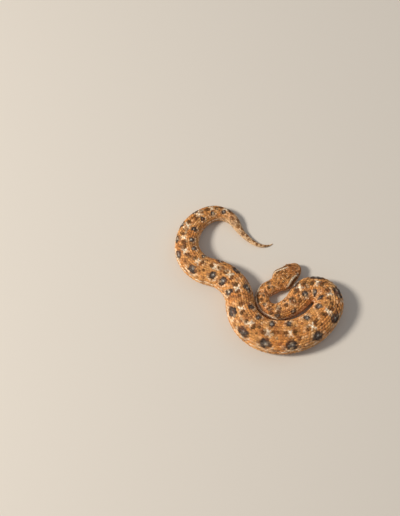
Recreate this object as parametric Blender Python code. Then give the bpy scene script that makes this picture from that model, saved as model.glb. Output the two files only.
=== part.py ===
"""A horned adder lying half coiled on level ground, life size, as a still museum model.

Blender 4.5, metres, +Z up. The origin is on the ground, under the middle of the snake's box.
The spine is a chain of bends laid on the ground from the tail tip to the snout. Flat-bellied
sections swept along it give the body, which is parted by thin cuts into lengths. The head has
its own sections, a lower jaw parted along the mouth line, eyes in sockets and two small horns.
"""

import math

import bmesh
import bpy
import numpy as np
from mathutils import Vector

MM = 0.001

# The pose: each bend is a length in mm and a turn in degrees, positive to the snake's left.
BENDS = [
    (15, -65),  # tail tip
    (22, -31),  # tail
    (26, 88),  # tail base
    (31, 59),  # top of the far arch
    (36, 85),  # side of the far arch
    (37, -77),  # waist between the arch and the coil
    (39, 77),  # entry to the coil
    (53, 74),  # long side of the coil
    (36, 174),  # hairpin
    (21, -42),  # slack after the hairpin
    (31.5, -173),  # neck loop
    (8.5, 19),  # nape
    (22, 0),  # head
]
FIRST_HEADING = 214  # degrees from +X, at the tail tip
EASE = 10  # mm over which one bend runs into the next
STEP = 0.5  # mm between the points at which the spine is worked out

# Width of the body in mm, by distance from the tail tip in mm.
GIRTH = [
    (0, 0.3),
    (8, 3.0),
    (30, 5.4),
    (41, 8.8),
    (58, 12.7),
    (82, 17.4),
    (110, 21.0),
    (150, 22.2),
    (172, 22.9),
    (188, 24.9),
    (212, 25.9),
    (245, 24.8),
    (275, 22.2),
    (298, 18.5),
    (310, 15.1),
    (322, 13.1),
    (334, 12.0),
    (355, 12.1),
]
GIRTH_EASE = 12  # mm
HEIGHT_SHARE = [(0, 0.95), (40, 0.90), (90, 0.80), (200, 0.76), (300, 0.80), (355, 0.80)]
WIDEST_LEVEL = 0.42  # of the height
BACK_ROUND, BELLY_ROUND = 2.15, 3.0  # superellipse exponents above and below the widest level
BELLY_TRIM = 1.05  # the belly's curve reaches this much deeper than the ground, which trims it flat

# Where the lengths of the body meet, in mm from the tail tip.
LENGTHS = [
    ("tail", 0, 38),
    ("trunk_8", 38, 72),
    ("trunk_7", 72, 106),
    ("trunk_6", 106, 144),
    ("trunk_5", 144, 184),
    ("trunk_4", 184, 224),
    ("trunk_3", 224, 256),
    ("trunk_2", 256, 280),
    ("trunk_1", 280, 310),
    ("neck_2", 310, 332),
    ("neck_1", 332, 353.5),
]
CUT = 0.3  # mm, the thin cut between two lengths
RING_SPACING = 3.9  # mm
RING_SIDES = 26

# The head, in mm. Shares run from 0 at the nape to 1 at the snout.
HEAD_LENGTH = 24.5
HEAD_WIDTH = [(0, 12.6), (0.08, 16.0), (0.16, 18.3), (0.25, 19.0), (0.34, 18.7), (0.46, 17.3)]
HEAD_WIDTH += [(0.6, 15.3), (0.72, 13.7), (0.84, 12.3), (0.92, 11.5), (1.0, 11.1)]
HEAD_TOP = [(0, 10.0), (0.12, 10.3), (0.3, 11.0), (0.5, 11.0), (0.66, 10.8), (0.8, 9.6), (1.0, 8.0)]
HEAD_CHIN = [(0, 0.0), (0.72, 0.0), (0.86, 0.4), (1.0, 1.3)]
HEAD_LEVEL = 0.36  # the jaw line, as a share of the head's height
CROWN_ROUND, CHIN_ROUND = 2.7, 2.9
SNOUT_FROM, SNOUT_ROUND = 0.74, 2.4  # where the snout starts to round off in plan, and how bluntly
LIP_FROM, LIP_ROUND, LIP_MIDDLE = 0.88, 2.6, 4.4  # the same from the side, about this height
HEAD_RINGS, HEAD_SIDES = 22, 32
RING_CROWD = 1.6  # above 1, the head's rings are closest at the snout
SNOUT_END = 0.994  # share of the last ring, which leaves a tiny flat at the snout

# The mouth line from its corner forward, as (share, height), and the levels of small features.
MOUTH = [(0.14, 2.6), (0.2, 3.4), (0.32, 3.9), (0.5, 3.6), (0.7, 3.2), (0.84, 3.1), (0.94, 3.5), (1.1, 3.6)]
MOUTH_BLOCK_DEPTH = 2.0  # mm below the ground that the jaw's cutter reaches
EYE_SHARE, EYE_HEIGHT, EYE_RADIUS, EYE_OUT = 0.665, 7.0, 1.55, 0.45
NOSTRIL_SHARE, NOSTRIL_HEIGHT, NOSTRIL_RADIUS = 0.925, 6.5, 0.42
HORN_SHARE, HORN_SIDE, HORN_LENGTH, HORN_RADIUS = 0.655, 4.6, 3.4, 0.85
HORN_LEAN = (-0.22, 0.30, 1.0)  # back, outward and up
HORN_CURL = 0.5  # mm that the tip bends back
HORN_SUNK = 0.5  # mm that the root reaches into its pit
HORN_TAPER = 0.75  # below 1, the horn stays thick for longer
HORN_STEPS = 8
HORN_TIP = 0.1  # radius at the tip, as a share of the root's

SKIN = (0.56, 0.30, 0.13)
SKIN_BY_NODE = {"tail": (0.60, 0.40, 0.22), "lower_jaw": (0.66, 0.46, 0.28)}
EYE_COLOUR = (0.30, 0.17, 0.07)
HORN_COLOUR = (0.62, 0.40, 0.22)


def clear_scene():
    for obj in list(bpy.data.objects):
        bpy.data.objects.remove(obj, do_unlink=True)


def along(rows, place):
    """The value of a table of (place, value) rows, straight between rows."""
    places, values = zip(*rows)
    return np.interp(place, places, values)


def eased(values, width):
    """A running average of evenly spaced values, which rounds the corners of a table."""
    count = int(round(width / STEP))
    weights = np.hanning(count + 2)[1:-1]
    padded = np.pad(values, count, mode="edge")
    return np.convolve(padded, weights / weights.sum(), "same")[count:-count]


class Spine:
    """The line of the body on the ground, from the tail tip, with its heading and its widths."""

    def __init__(self):
        self.length = sum(length for length, turn in BENDS)
        cells = int(round(self.length / STEP))
        middles = (np.arange(cells) + 0.5) * STEP
        bend = np.zeros(cells)
        start = 0
        for length, turn in BENDS:
            bend[(middles > start) & (middles < start + length)] = math.radians(turn) / length
            start += length
        bend = eased(bend, EASE)
        self.places = np.arange(cells + 1) * STEP
        self.heading = math.radians(FIRST_HEADING) + np.append(0, np.cumsum(bend) * STEP)
        between = (self.heading[1:] + self.heading[:-1]) / 2
        self.x = np.append(0, np.cumsum(np.cos(between)) * STEP)
        self.y = np.append(0, np.cumsum(np.sin(between)) * STEP)
        self.width = eased(along(GIRTH, self.places), GIRTH_EASE)
        self.share = eased(along(HEIGHT_SHARE, self.places), GIRTH_EASE)

    def read(self, values, place):
        return float(np.interp(place, self.places, values))

    def put(self, place, side, height):
        """The point this far from the tail tip, to the left of the spine and off the ground, in mm."""
        turn = self.read(self.heading, place)
        x = self.read(self.x, place) - side * math.sin(turn)
        y = self.read(self.y, place) + side * math.cos(turn)
        return Vector((x, y, height))


def oval_point(angle, half_width, top, level, bottom, rounds):
    """A point of a section, by its angle from the crest, as (side, height). Unlike halves meet at level."""
    up = math.cos(angle) >= 0
    power = 2 / (rounds[0] if up else rounds[1])
    side = math.copysign(abs(math.sin(angle)) ** power, math.sin(angle)) * half_width
    reach = abs(math.cos(angle)) ** power
    return side, level + reach * ((top - level) if up else (bottom - level))


def body_section(spine, place, sides=RING_SIDES):
    """One ring of the body: a rounded back and a belly trimmed flat."""
    width = spine.read(spine.width, place)
    height = width * spine.read(spine.share, place)
    level = WIDEST_LEVEL * height
    bottom = level - BELLY_TRIM * level
    ring = []
    for i in range(sides):
        angle = 2 * math.pi * i / sides
        rounds = (BACK_ROUND, BELLY_ROUND)
        side, up = oval_point(angle, width / 2, height, level, bottom, rounds)
        ring.append(spine.put(place, side, max(up, 0)))
    return ring


def rounding(share, start, power):
    """Falls from 1 at start to 0 at share 1, as the outline of a blunt end does."""
    beyond = max(0.0, min(1.0, (share - start) / (1 - start)))
    return math.sqrt(max(0.0, 1 - beyond**power))


def head_form(share):
    """Half width, top, level and bottom of the head at a share of its length, in mm."""
    half = along(HEAD_WIDTH, share) / 2 * rounding(share, SNOUT_FROM, SNOUT_ROUND)
    blunt = rounding(share, LIP_FROM, LIP_ROUND)
    top = LIP_MIDDLE + (along(HEAD_TOP, share) - LIP_MIDDLE) * blunt
    bottom = LIP_MIDDLE - (LIP_MIDDLE - along(HEAD_CHIN, share)) * blunt
    return half, top, bottom + HEAD_LEVEL * (top - bottom), bottom


def head_section(spine, share, sides=HEAD_SIDES):
    """One ring of the head. The chin is trimmed flat on the ground."""
    half, top, level, bottom = head_form(share)
    deep = level - BELLY_TRIM * (level - bottom)
    place = spine.length - HEAD_LENGTH * (1 - share)
    ring = []
    for i in range(sides):
        angle = 2 * math.pi * i / sides
        side, up = oval_point(angle, half, top, level, deep, (CROWN_ROUND, CHIN_ROUND))
        ring.append(spine.put(place, side, max(up, bottom)))
    return ring


def head_side(share, height):
    """How far the head's wall stands from its middle plane at this height, in mm."""
    half, top, level, bottom = head_form(share)
    part = (height - level) / ((top if height > level else bottom) - level)
    power = CROWN_ROUND if height > level else CHIN_ROUND
    return half * (1 - min(1.0, part) ** power) ** (1 / power)


def material(name, colour, roughness):
    made = bpy.data.materials.new(name)
    made.use_nodes = True
    shader = made.node_tree.nodes["Principled BSDF"]
    shader.inputs["Base Color"].default_value = (*colour, 1)
    shader.inputs["Roughness"].default_value = roughness
    shader.inputs["Metallic"].default_value = 0.0
    made.diffuse_color = (*colour, 1)
    return made


def finished(name, mesh, collection, colour, roughness):
    """An object in the snake's collection, smooth but for its sharp rims, with its own material."""
    obj = bpy.data.objects.new(name, mesh)
    mesh.materials.clear()
    mesh.materials.append(material(name, colour, roughness))
    mesh.shade_smooth()
    mesh.set_sharp_from_angle(angle=math.radians(50))
    collection.objects.link(obj)
    return obj


def loft(name, rings, middle):
    """A closed mesh through rings of equal count, flat at both ends. Middle is the origin in mm."""
    shape = bmesh.new()
    layers = [[shape.verts.new((p - middle) * MM) for p in ring] for ring in rings]
    for back, front in zip(layers, layers[1:]):
        for i in range(len(back)):
            j = (i + 1) % len(back)
            shape.faces.new((back[i], back[j], front[j], front[i]))
    shape.faces.new(reversed(layers[0]))
    shape.faces.new(layers[-1])
    bmesh.ops.recalc_face_normals(shape, faces=shape.faces)
    mesh = bpy.data.meshes.new(name)
    shape.to_mesh(mesh)
    shape.free()
    return mesh


def body_length(spine, name, start, end, middle):
    """The rings of one length of the body, half a cut short of each neighbour."""
    first = start + (CUT / 2 if start > 0 else 0)
    last = end - CUT / 2
    count = max(3, math.ceil((last - first) / RING_SPACING) + 1)
    rings = [body_section(spine, place) for place in np.linspace(first, last, count)]
    return loft(name, rings, middle)


def head_mesh(spine, name, middle):
    """The whole head with its jaw. The rings close up towards the snout."""
    first = CUT / 2 / HEAD_LENGTH
    steps = np.linspace(0, 1, HEAD_RINGS)
    shares = first + (SNOUT_END - first) * (1 - (1 - steps) ** RING_CROWD)
    return loft(name, [head_section(spine, share) for share in shares], middle)


def ball(name, centre, radius, rings=10):
    """A sphere mesh at a point in metres."""
    shape = bmesh.new()
    bmesh.ops.create_uvsphere(shape, u_segments=2 * rings, v_segments=rings, radius=radius)
    bmesh.ops.translate(shape, verts=shape.verts, vec=centre)
    mesh = bpy.data.meshes.new(name)
    shape.to_mesh(mesh)
    shape.free()
    return mesh


def cutter(name, mesh, collection):
    obj = bpy.data.objects.new(name, mesh)
    obj.hide_render = True
    obj.display_type = "WIRE"
    collection.objects.link(obj)
    return obj


def mouth_block(spine, name, middle, raise_by, back_by):
    """What lies below the mouth line: a side outline of the jaw, as wide as the head and more."""
    half = max(width for share, width in HEAD_WIDTH)
    outline = [(share - back_by / HEAD_LENGTH, height + raise_by) for share, height in MOUTH]
    outline += [(MOUTH[-1][0], -MOUTH_BLOCK_DEPTH), (outline[0][0], -MOUTH_BLOCK_DEPTH)]
    shape = bmesh.new()
    walls = []
    for side in (-half, half):
        wall = []
        for share, height in outline:
            place = spine.length - HEAD_LENGTH * (1 - share)
            ahead = max(0.0, place - spine.length)
            point = spine.put(min(place, spine.length), side, height)
            turn = spine.read(spine.heading, spine.length)
            point += Vector((math.cos(turn), math.sin(turn), 0)) * ahead
            wall.append(shape.verts.new((point - middle) * MM))
        walls.append(wall)
    for i in range(len(outline)):
        j = (i + 1) % len(outline)
        shape.faces.new((walls[0][i], walls[0][j], walls[1][j], walls[1][i]))
    shape.faces.new(reversed(walls[0]))
    shape.faces.new(walls[1])
    bmesh.ops.recalc_face_normals(shape, faces=shape.faces)
    mesh = bpy.data.meshes.new(name)
    shape.to_mesh(mesh)
    shape.free()
    return mesh


def boolean(obj, operation, other):
    made = obj.modifiers.new(other.name, "BOOLEAN")
    made.operation = operation
    made.solver = "EXACT"
    made.object = other


def head_point(spine, share, side, height, middle):
    """A point of the head in metres, by share of its length, side and height in mm."""
    place = spine.length - HEAD_LENGTH * (1 - share)
    return (spine.put(place, side, height) - middle) * MM


def horn(spine, name, hand, middle):
    """A horn as a tapered, slightly curled thorn with a round root."""
    turn = spine.read(spine.heading, spine.length)
    forward = Vector((math.cos(turn), math.sin(turn), 0))
    left = Vector((-math.sin(turn), math.cos(turn), 0))
    lean = forward * HORN_LEAN[0] + left * HORN_LEAN[1] * hand + Vector((0, 0, HORN_LEAN[2]))
    lean.normalize()
    root = horn_root(spine, hand, middle)
    curve = bpy.data.curves.new(name, "CURVE")
    curve.dimensions = "3D"
    curve.bevel_depth = HORN_RADIUS * MM
    curve.bevel_resolution = 3
    curve.use_fill_caps = True
    spline = curve.splines.new("POLY")
    spline.points.add(HORN_STEPS)
    for i in range(HORN_STEPS + 1):
        share = i / HORN_STEPS
        reach = HORN_LENGTH * share - HORN_SUNK * (1 - share)
        point = root + lean * reach * MM - forward * HORN_CURL * share**2 * MM
        spline.points[i].co = (*point, 1)
        spline.points[i].radius = max(HORN_TIP, (1 - share) ** HORN_TAPER)
    guide = bpy.data.objects.new(name + "_guide", curve)
    bpy.context.scene.collection.objects.link(guide)
    bpy.context.view_layer.update()
    graph = bpy.context.evaluated_depsgraph_get()
    mesh = bpy.data.meshes.new_from_object(guide.evaluated_get(graph))
    bpy.data.objects.remove(guide)
    shape = bmesh.new()
    shape.from_mesh(mesh)
    bmesh.ops.remove_doubles(shape, verts=shape.verts, dist=0.00001)
    bmesh.ops.recalc_face_normals(shape, faces=shape.faces)
    shape.to_mesh(mesh)
    shape.free()
    return mesh


def horn_root(spine, hand, middle):
    """The middle of a horn's root, on the brow."""
    half, top, level, bottom = head_form(HORN_SHARE)
    height = level + (top - level) * (1 - (HORN_SIDE / half) ** CROWN_ROUND) ** (1 / CROWN_ROUND)
    return head_point(spine, HORN_SHARE, HORN_SIDE * hand, height, middle)


def middle_of(spine):
    """The point on the ground under the middle of the snake's box, in mm."""
    places = np.arange(0, spine.length - HEAD_LENGTH, 1.0)
    points = [p for place in places for p in body_section(spine, place)]
    points += [p for share in np.linspace(0, 1, 40) for p in head_section(spine, share)]
    low = [min(p[i] for p in points) for i in range(2)]
    high = [max(p[i] for p in points) for i in range(2)]
    return Vector(((low[0] + high[0]) / 2, (low[1] + high[1]) / 2, 0))


def build():
    clear_scene()
    snake = bpy.data.collections.new("horned_adder")
    cutters = bpy.data.collections.new("cutters")
    bpy.context.scene.collection.children.link(snake)
    bpy.context.scene.collection.children.link(cutters)
    spine = Spine()
    middle = middle_of(spine)

    for name, start, end in LENGTHS:
        mesh = body_length(spine, name, start, end, middle)
        finished(name, mesh, snake, SKIN_BY_NODE.get(name, SKIN), 0.6)

    head = finished("head", head_mesh(spine, "head", middle), snake, SKIN, 0.6)
    whole = head_mesh(spine, "lower_jaw", middle)
    jaw = finished("lower_jaw", whole, snake, SKIN_BY_NODE["lower_jaw"], 0.6)
    above = mouth_block(spine, "mouth_above", middle, CUT / 2, CUT / 2)
    below = mouth_block(spine, "mouth_below", middle, -CUT / 2, -CUT / 2)
    boolean(head, "DIFFERENCE", cutter("mouth_above", above, cutters))
    boolean(jaw, "INTERSECT", cutter("mouth_below", below, cutters))

    for side_name, hand in (("left", 1), ("right", -1)):
        out = head_side(EYE_SHARE, EYE_HEIGHT) + EYE_OUT - EYE_RADIUS
        eye = head_point(spine, EYE_SHARE, out * hand, EYE_HEIGHT, middle)
        eye_mesh = ball("eye_" + side_name, eye, EYE_RADIUS * MM)
        finished("eye_" + side_name, eye_mesh, snake, EYE_COLOUR, 0.15)
        socket = ball("socket_" + side_name, eye, (EYE_RADIUS + CUT) * MM)
        boolean(head, "DIFFERENCE", cutter("socket_" + side_name, socket, cutters))

        horn_mesh = horn(spine, "horn_" + side_name, hand, middle)
        finished("horn_" + side_name, horn_mesh, snake, HORN_COLOUR, 0.5)
        root = horn_root(spine, hand, middle)
        pit = ball("horn_pit_" + side_name, root, (HORN_RADIUS + CUT) * MM, rings=8)
        boolean(head, "DIFFERENCE", cutter("horn_pit_" + side_name, pit, cutters))

        out = head_side(NOSTRIL_SHARE, NOSTRIL_HEIGHT)
        nostril = head_point(spine, NOSTRIL_SHARE, out * hand, NOSTRIL_HEIGHT, middle)
        hole = ball("nostril_" + side_name, nostril, NOSTRIL_RADIUS * MM, rings=6)
        boolean(head, "DIFFERENCE", cutter("nostril_" + side_name, hole, cutters))


build()
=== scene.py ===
"""A horned adder lying half coiled: one skin, its keeled scales, its eyes and its horns.

The line of the body and the form of the head repeat the frame's own sizes, in mm. Everything
else is worked out on the skin: a place along the snake, from the tail tip to the snout, and a
share around it, from the crest (0) down to the edge of the belly (-1 on the right, 1 on the left).
"""

import math

import bmesh
import bpy
import numpy as np
from mathutils import Matrix, Vector


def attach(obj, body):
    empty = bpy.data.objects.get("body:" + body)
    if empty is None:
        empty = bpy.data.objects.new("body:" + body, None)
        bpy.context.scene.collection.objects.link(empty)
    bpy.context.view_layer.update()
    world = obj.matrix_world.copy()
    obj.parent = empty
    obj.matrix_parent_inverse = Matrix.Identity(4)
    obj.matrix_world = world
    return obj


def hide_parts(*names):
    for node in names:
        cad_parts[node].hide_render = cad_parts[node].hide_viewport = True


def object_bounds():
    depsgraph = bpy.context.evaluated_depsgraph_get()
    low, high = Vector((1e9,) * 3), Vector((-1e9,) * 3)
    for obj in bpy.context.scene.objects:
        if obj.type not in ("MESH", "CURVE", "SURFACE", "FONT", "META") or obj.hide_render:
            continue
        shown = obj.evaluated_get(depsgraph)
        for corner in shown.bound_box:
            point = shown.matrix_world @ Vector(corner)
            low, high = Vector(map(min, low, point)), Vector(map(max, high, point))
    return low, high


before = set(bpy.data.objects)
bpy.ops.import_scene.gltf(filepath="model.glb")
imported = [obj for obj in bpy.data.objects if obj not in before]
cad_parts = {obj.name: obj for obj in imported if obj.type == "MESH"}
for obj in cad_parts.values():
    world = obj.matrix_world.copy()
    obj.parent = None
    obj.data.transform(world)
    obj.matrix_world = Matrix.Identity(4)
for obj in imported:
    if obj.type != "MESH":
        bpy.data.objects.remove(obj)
cad_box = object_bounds()

MM = 0.001

# ---------------------------------------------------------------- the frame's own sizes

BENDS = [
    (15, -65),  # tail tip
    (22, -31),  # tail
    (26, 88),  # tail base
    (31, 59),  # top of the far arch
    (36, 85),  # side of the far arch
    (37, -77),  # waist between the arch and the coil
    (39, 77),  # entry to the coil
    (53, 74),  # long side of the coil
    (36, 174),  # hairpin
    (21, -42),  # slack after the hairpin
    (31.5, -173),  # neck loop
    (8.5, 19),  # nape
    (22, 0),  # head
]
FIRST_HEADING = 214  # degrees from +X, at the tail tip
EASE = 10  # mm over which one bend runs into the next
STEP = 0.5  # mm between the points at which the spine is worked out

GIRTH = [(0, 0.3), (8, 3.0), (30, 5.4), (41, 8.8), (58, 12.7), (82, 17.4), (110, 21.0), (150, 22.2)]
GIRTH += [(172, 22.9), (188, 24.9), (212, 25.9), (245, 24.8), (275, 22.2), (298, 18.5), (310, 15.1)]
GIRTH += [(322, 13.1), (334, 12.0), (355, 12.1)]
GIRTH_EASE = 12  # mm
HEIGHT_SHARE = [(0, 0.95), (40, 0.90), (90, 0.80), (200, 0.76), (300, 0.80), (355, 0.80)]
WIDEST_LEVEL = 0.42  # of the height
BACK_ROUND, BELLY_ROUND = 2.15, 3.0
BELLY_TRIM = 1.05

HEAD_LENGTH = 24.5
HEAD_WIDTH = [(0, 12.6), (0.08, 16.0), (0.16, 18.3), (0.25, 19.0), (0.34, 18.7), (0.46, 17.3)]
HEAD_WIDTH += [(0.6, 15.3), (0.72, 13.7), (0.84, 12.3), (0.92, 11.5), (1.0, 11.1)]
HEAD_TOP = [(0, 10.0), (0.12, 10.3), (0.3, 11.0), (0.5, 11.0), (0.66, 10.8), (0.8, 9.6), (1.0, 8.0)]
HEAD_CHIN = [(0, 0.0), (0.72, 0.0), (0.86, 0.4), (1.0, 1.3)]
HEAD_LEVEL = 0.36
CROWN_ROUND, CHIN_ROUND = 2.7, 2.9
SNOUT_FROM, SNOUT_ROUND = 0.74, 2.4
LIP_FROM, LIP_ROUND, LIP_MIDDLE = 0.88, 2.6, 4.4
MOUTH = [(0.14, 2.6), (0.2, 3.4), (0.32, 3.9), (0.5, 3.6), (0.7, 3.2), (0.84, 3.1), (0.94, 3.5), (1.1, 3.6)]
EYE_SHARE, EYE_HEIGHT, EYE_RADIUS, EYE_OUT = 0.665, 7.0, 1.55, 0.45
NOSTRIL_SHARE, NOSTRIL_HEIGHT = 0.925, 6.5
HORN_SHARE, HORN_SIDE, HORN_LENGTH, HORN_RADIUS = 0.655, 4.6, 3.4, 0.85
HORN_LEAN = (-0.22, 0.30, 1.0)  # back, outward and up
HORN_CURL = 0.5
FLESH = ["head", "lower_jaw", "neck_1", "neck_2", "tail"] + [f"trunk_{i}" for i in range(1, 9)]

# ---------------------------------------------------------------- the coat, in mm

COAT = 0.45  # how far the skin lies inside the solids
SHALLOW = 0.30  # the coat is never deeper than this share of the half width
NAPE = (346.0, 360.0)  # where the body's section turns into the head's
HEAD_START = sum(length for length, turn in BENDS) - HEAD_LENGTH
VENT = 41.0  # where the tail begins
WHOLE_SHARE = 0.35  # how far a scale takes one colour from its middle, rather than its own pattern
LEAST_STRETCH = 0.3  # the most that a bend may squeeze the skin on its inner side
STIFF = 0.15  # the share of its own flatness that a scale keeps on the skin
LOWEST = 0.00001  # the least height of any point of a coat, in m
MAP_MARGIN, MAP_PATCH = 0.02, 0.003  # of the OFBake map


def clamp01(value):
    return np.clip(value, 0.0, 1.0)


def smooth(value, low, high):
    """0 below low and 1 above high, or the other way round, with a soft step between."""
    t = clamp01((value - low) / (high - low))
    return t * t * (3 - 2 * t)


def bump(value, middle, width):
    """A soft hill, 1 high at its middle."""
    return np.exp(-(((value - middle) / width) ** 2))


def unit(rows):
    """Vectors made one long."""
    return rows / np.maximum(1e-9, np.linalg.norm(rows, axis=-1, keepdims=True))


def along(rows, place):
    """The value of a table of (place, value) rows, straight between rows."""
    places, values = zip(*rows)
    return np.interp(place, places, values)


def eased(values, width, step=STEP):
    """A running average of evenly spaced values, which rounds the corners of a table."""
    count = int(round(width / step))
    weights = np.hanning(count + 2)[1:-1]
    padded = np.pad(values, count, mode="edge")
    return np.convolve(padded, weights / weights.sum(), "same")[count:-count]


def grain(x, y, seed):
    """Smooth noise from 0 to 1, over a lattice with a pitch of one."""
    size = 61
    table = np.random.default_rng(seed).random((size, size))
    x, y = np.broadcast_arrays(np.asarray(x, float), np.asarray(y, float))
    column, row = np.floor(x).astype(int), np.floor(y).astype(int)
    fx, fy = x - column, y - row
    fx, fy = fx * fx * (3 - 2 * fx), fy * fy * (3 - 2 * fy)
    left, right, below, above = column % size, (column + 1) % size, row % size, (row + 1) % size
    near = table[left, below] * (1 - fx) + table[right, below] * fx
    far = table[left, above] * (1 - fx) + table[right, above] * fx
    return near * (1 - fy) + far * fy


class Spine:
    """The line of the body on the ground, from the tail tip, with its heading and its widths."""

    def __init__(self):
        self.length = sum(length for length, turn in BENDS)
        cells = int(round(self.length / STEP))
        middles = (np.arange(cells) + 0.5) * STEP
        bend = np.zeros(cells)
        start = 0
        for length, turn in BENDS:
            bend[(middles > start) & (middles < start + length)] = math.radians(turn) / length
            start += length
        bend = eased(bend, EASE)
        self.places = np.arange(cells + 1) * STEP
        self.bend = np.interp(self.places, middles, bend)
        self.heading = math.radians(FIRST_HEADING) + np.append(0, np.cumsum(bend) * STEP)
        between = (self.heading[1:] + self.heading[:-1]) / 2
        self.x = np.append(0, np.cumsum(np.cos(between)) * STEP)
        self.y = np.append(0, np.cumsum(np.sin(between)) * STEP)
        self.width = eased(along(GIRTH, self.places), GIRTH_EASE)
        self.share = eased(along(HEIGHT_SHARE, self.places), GIRTH_EASE)

    def read(self, values, place):
        return np.interp(place, self.places, values)


def oval(angle, half, top, level, bottom, rounds):
    """Points of a section by their angle from the crest, as (side, height)."""
    up = np.cos(angle) >= 0
    power = 2 / np.where(up, rounds[0], rounds[1])
    side = np.sign(np.sin(angle)) * np.abs(np.sin(angle)) ** power * half
    reach = np.abs(np.cos(angle)) ** power
    return side, level + reach * np.where(up, top - level, bottom - level)


def rounding(share, start, power):
    """Falls from 1 at start to 0 at share 1, as the outline of a blunt end does."""
    beyond = clamp01((share - start) / (1 - start))
    return np.sqrt(np.maximum(0.0, 1 - beyond**power))


def head_form(share):
    """Half width, top, level and bottom of the head at a share of its length."""
    half = along(HEAD_WIDTH, share) / 2 * rounding(share, SNOUT_FROM, SNOUT_ROUND)
    blunt = rounding(share, LIP_FROM, LIP_ROUND)
    top = LIP_MIDDLE + (along(HEAD_TOP, share) - LIP_MIDDLE) * blunt
    bottom = LIP_MIDDLE - (LIP_MIDDLE - along(HEAD_CHIN, share)) * blunt
    return half, top, bottom + HEAD_LEVEL * (top - bottom), bottom


def head_side(share, height):
    """How far the head's wall stands from its middle plane at this height."""
    half, top, level, bottom = head_form(share)
    part = (height - level) / ((top if height > level else bottom) - level)
    power = CROWN_ROUND if height > level else CHIN_ROUND
    return half * (1 - min(1.0, part) ** power) ** (1 / power)


def head_rise(share, side):
    """How high the head's crown stands this far from its middle plane."""
    half, top, level = head_form(share)[:3]
    return level + (top - level) * (1 - clamp01(side / half) ** CROWN_ROUND) ** (1 / CROWN_ROUND)


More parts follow.
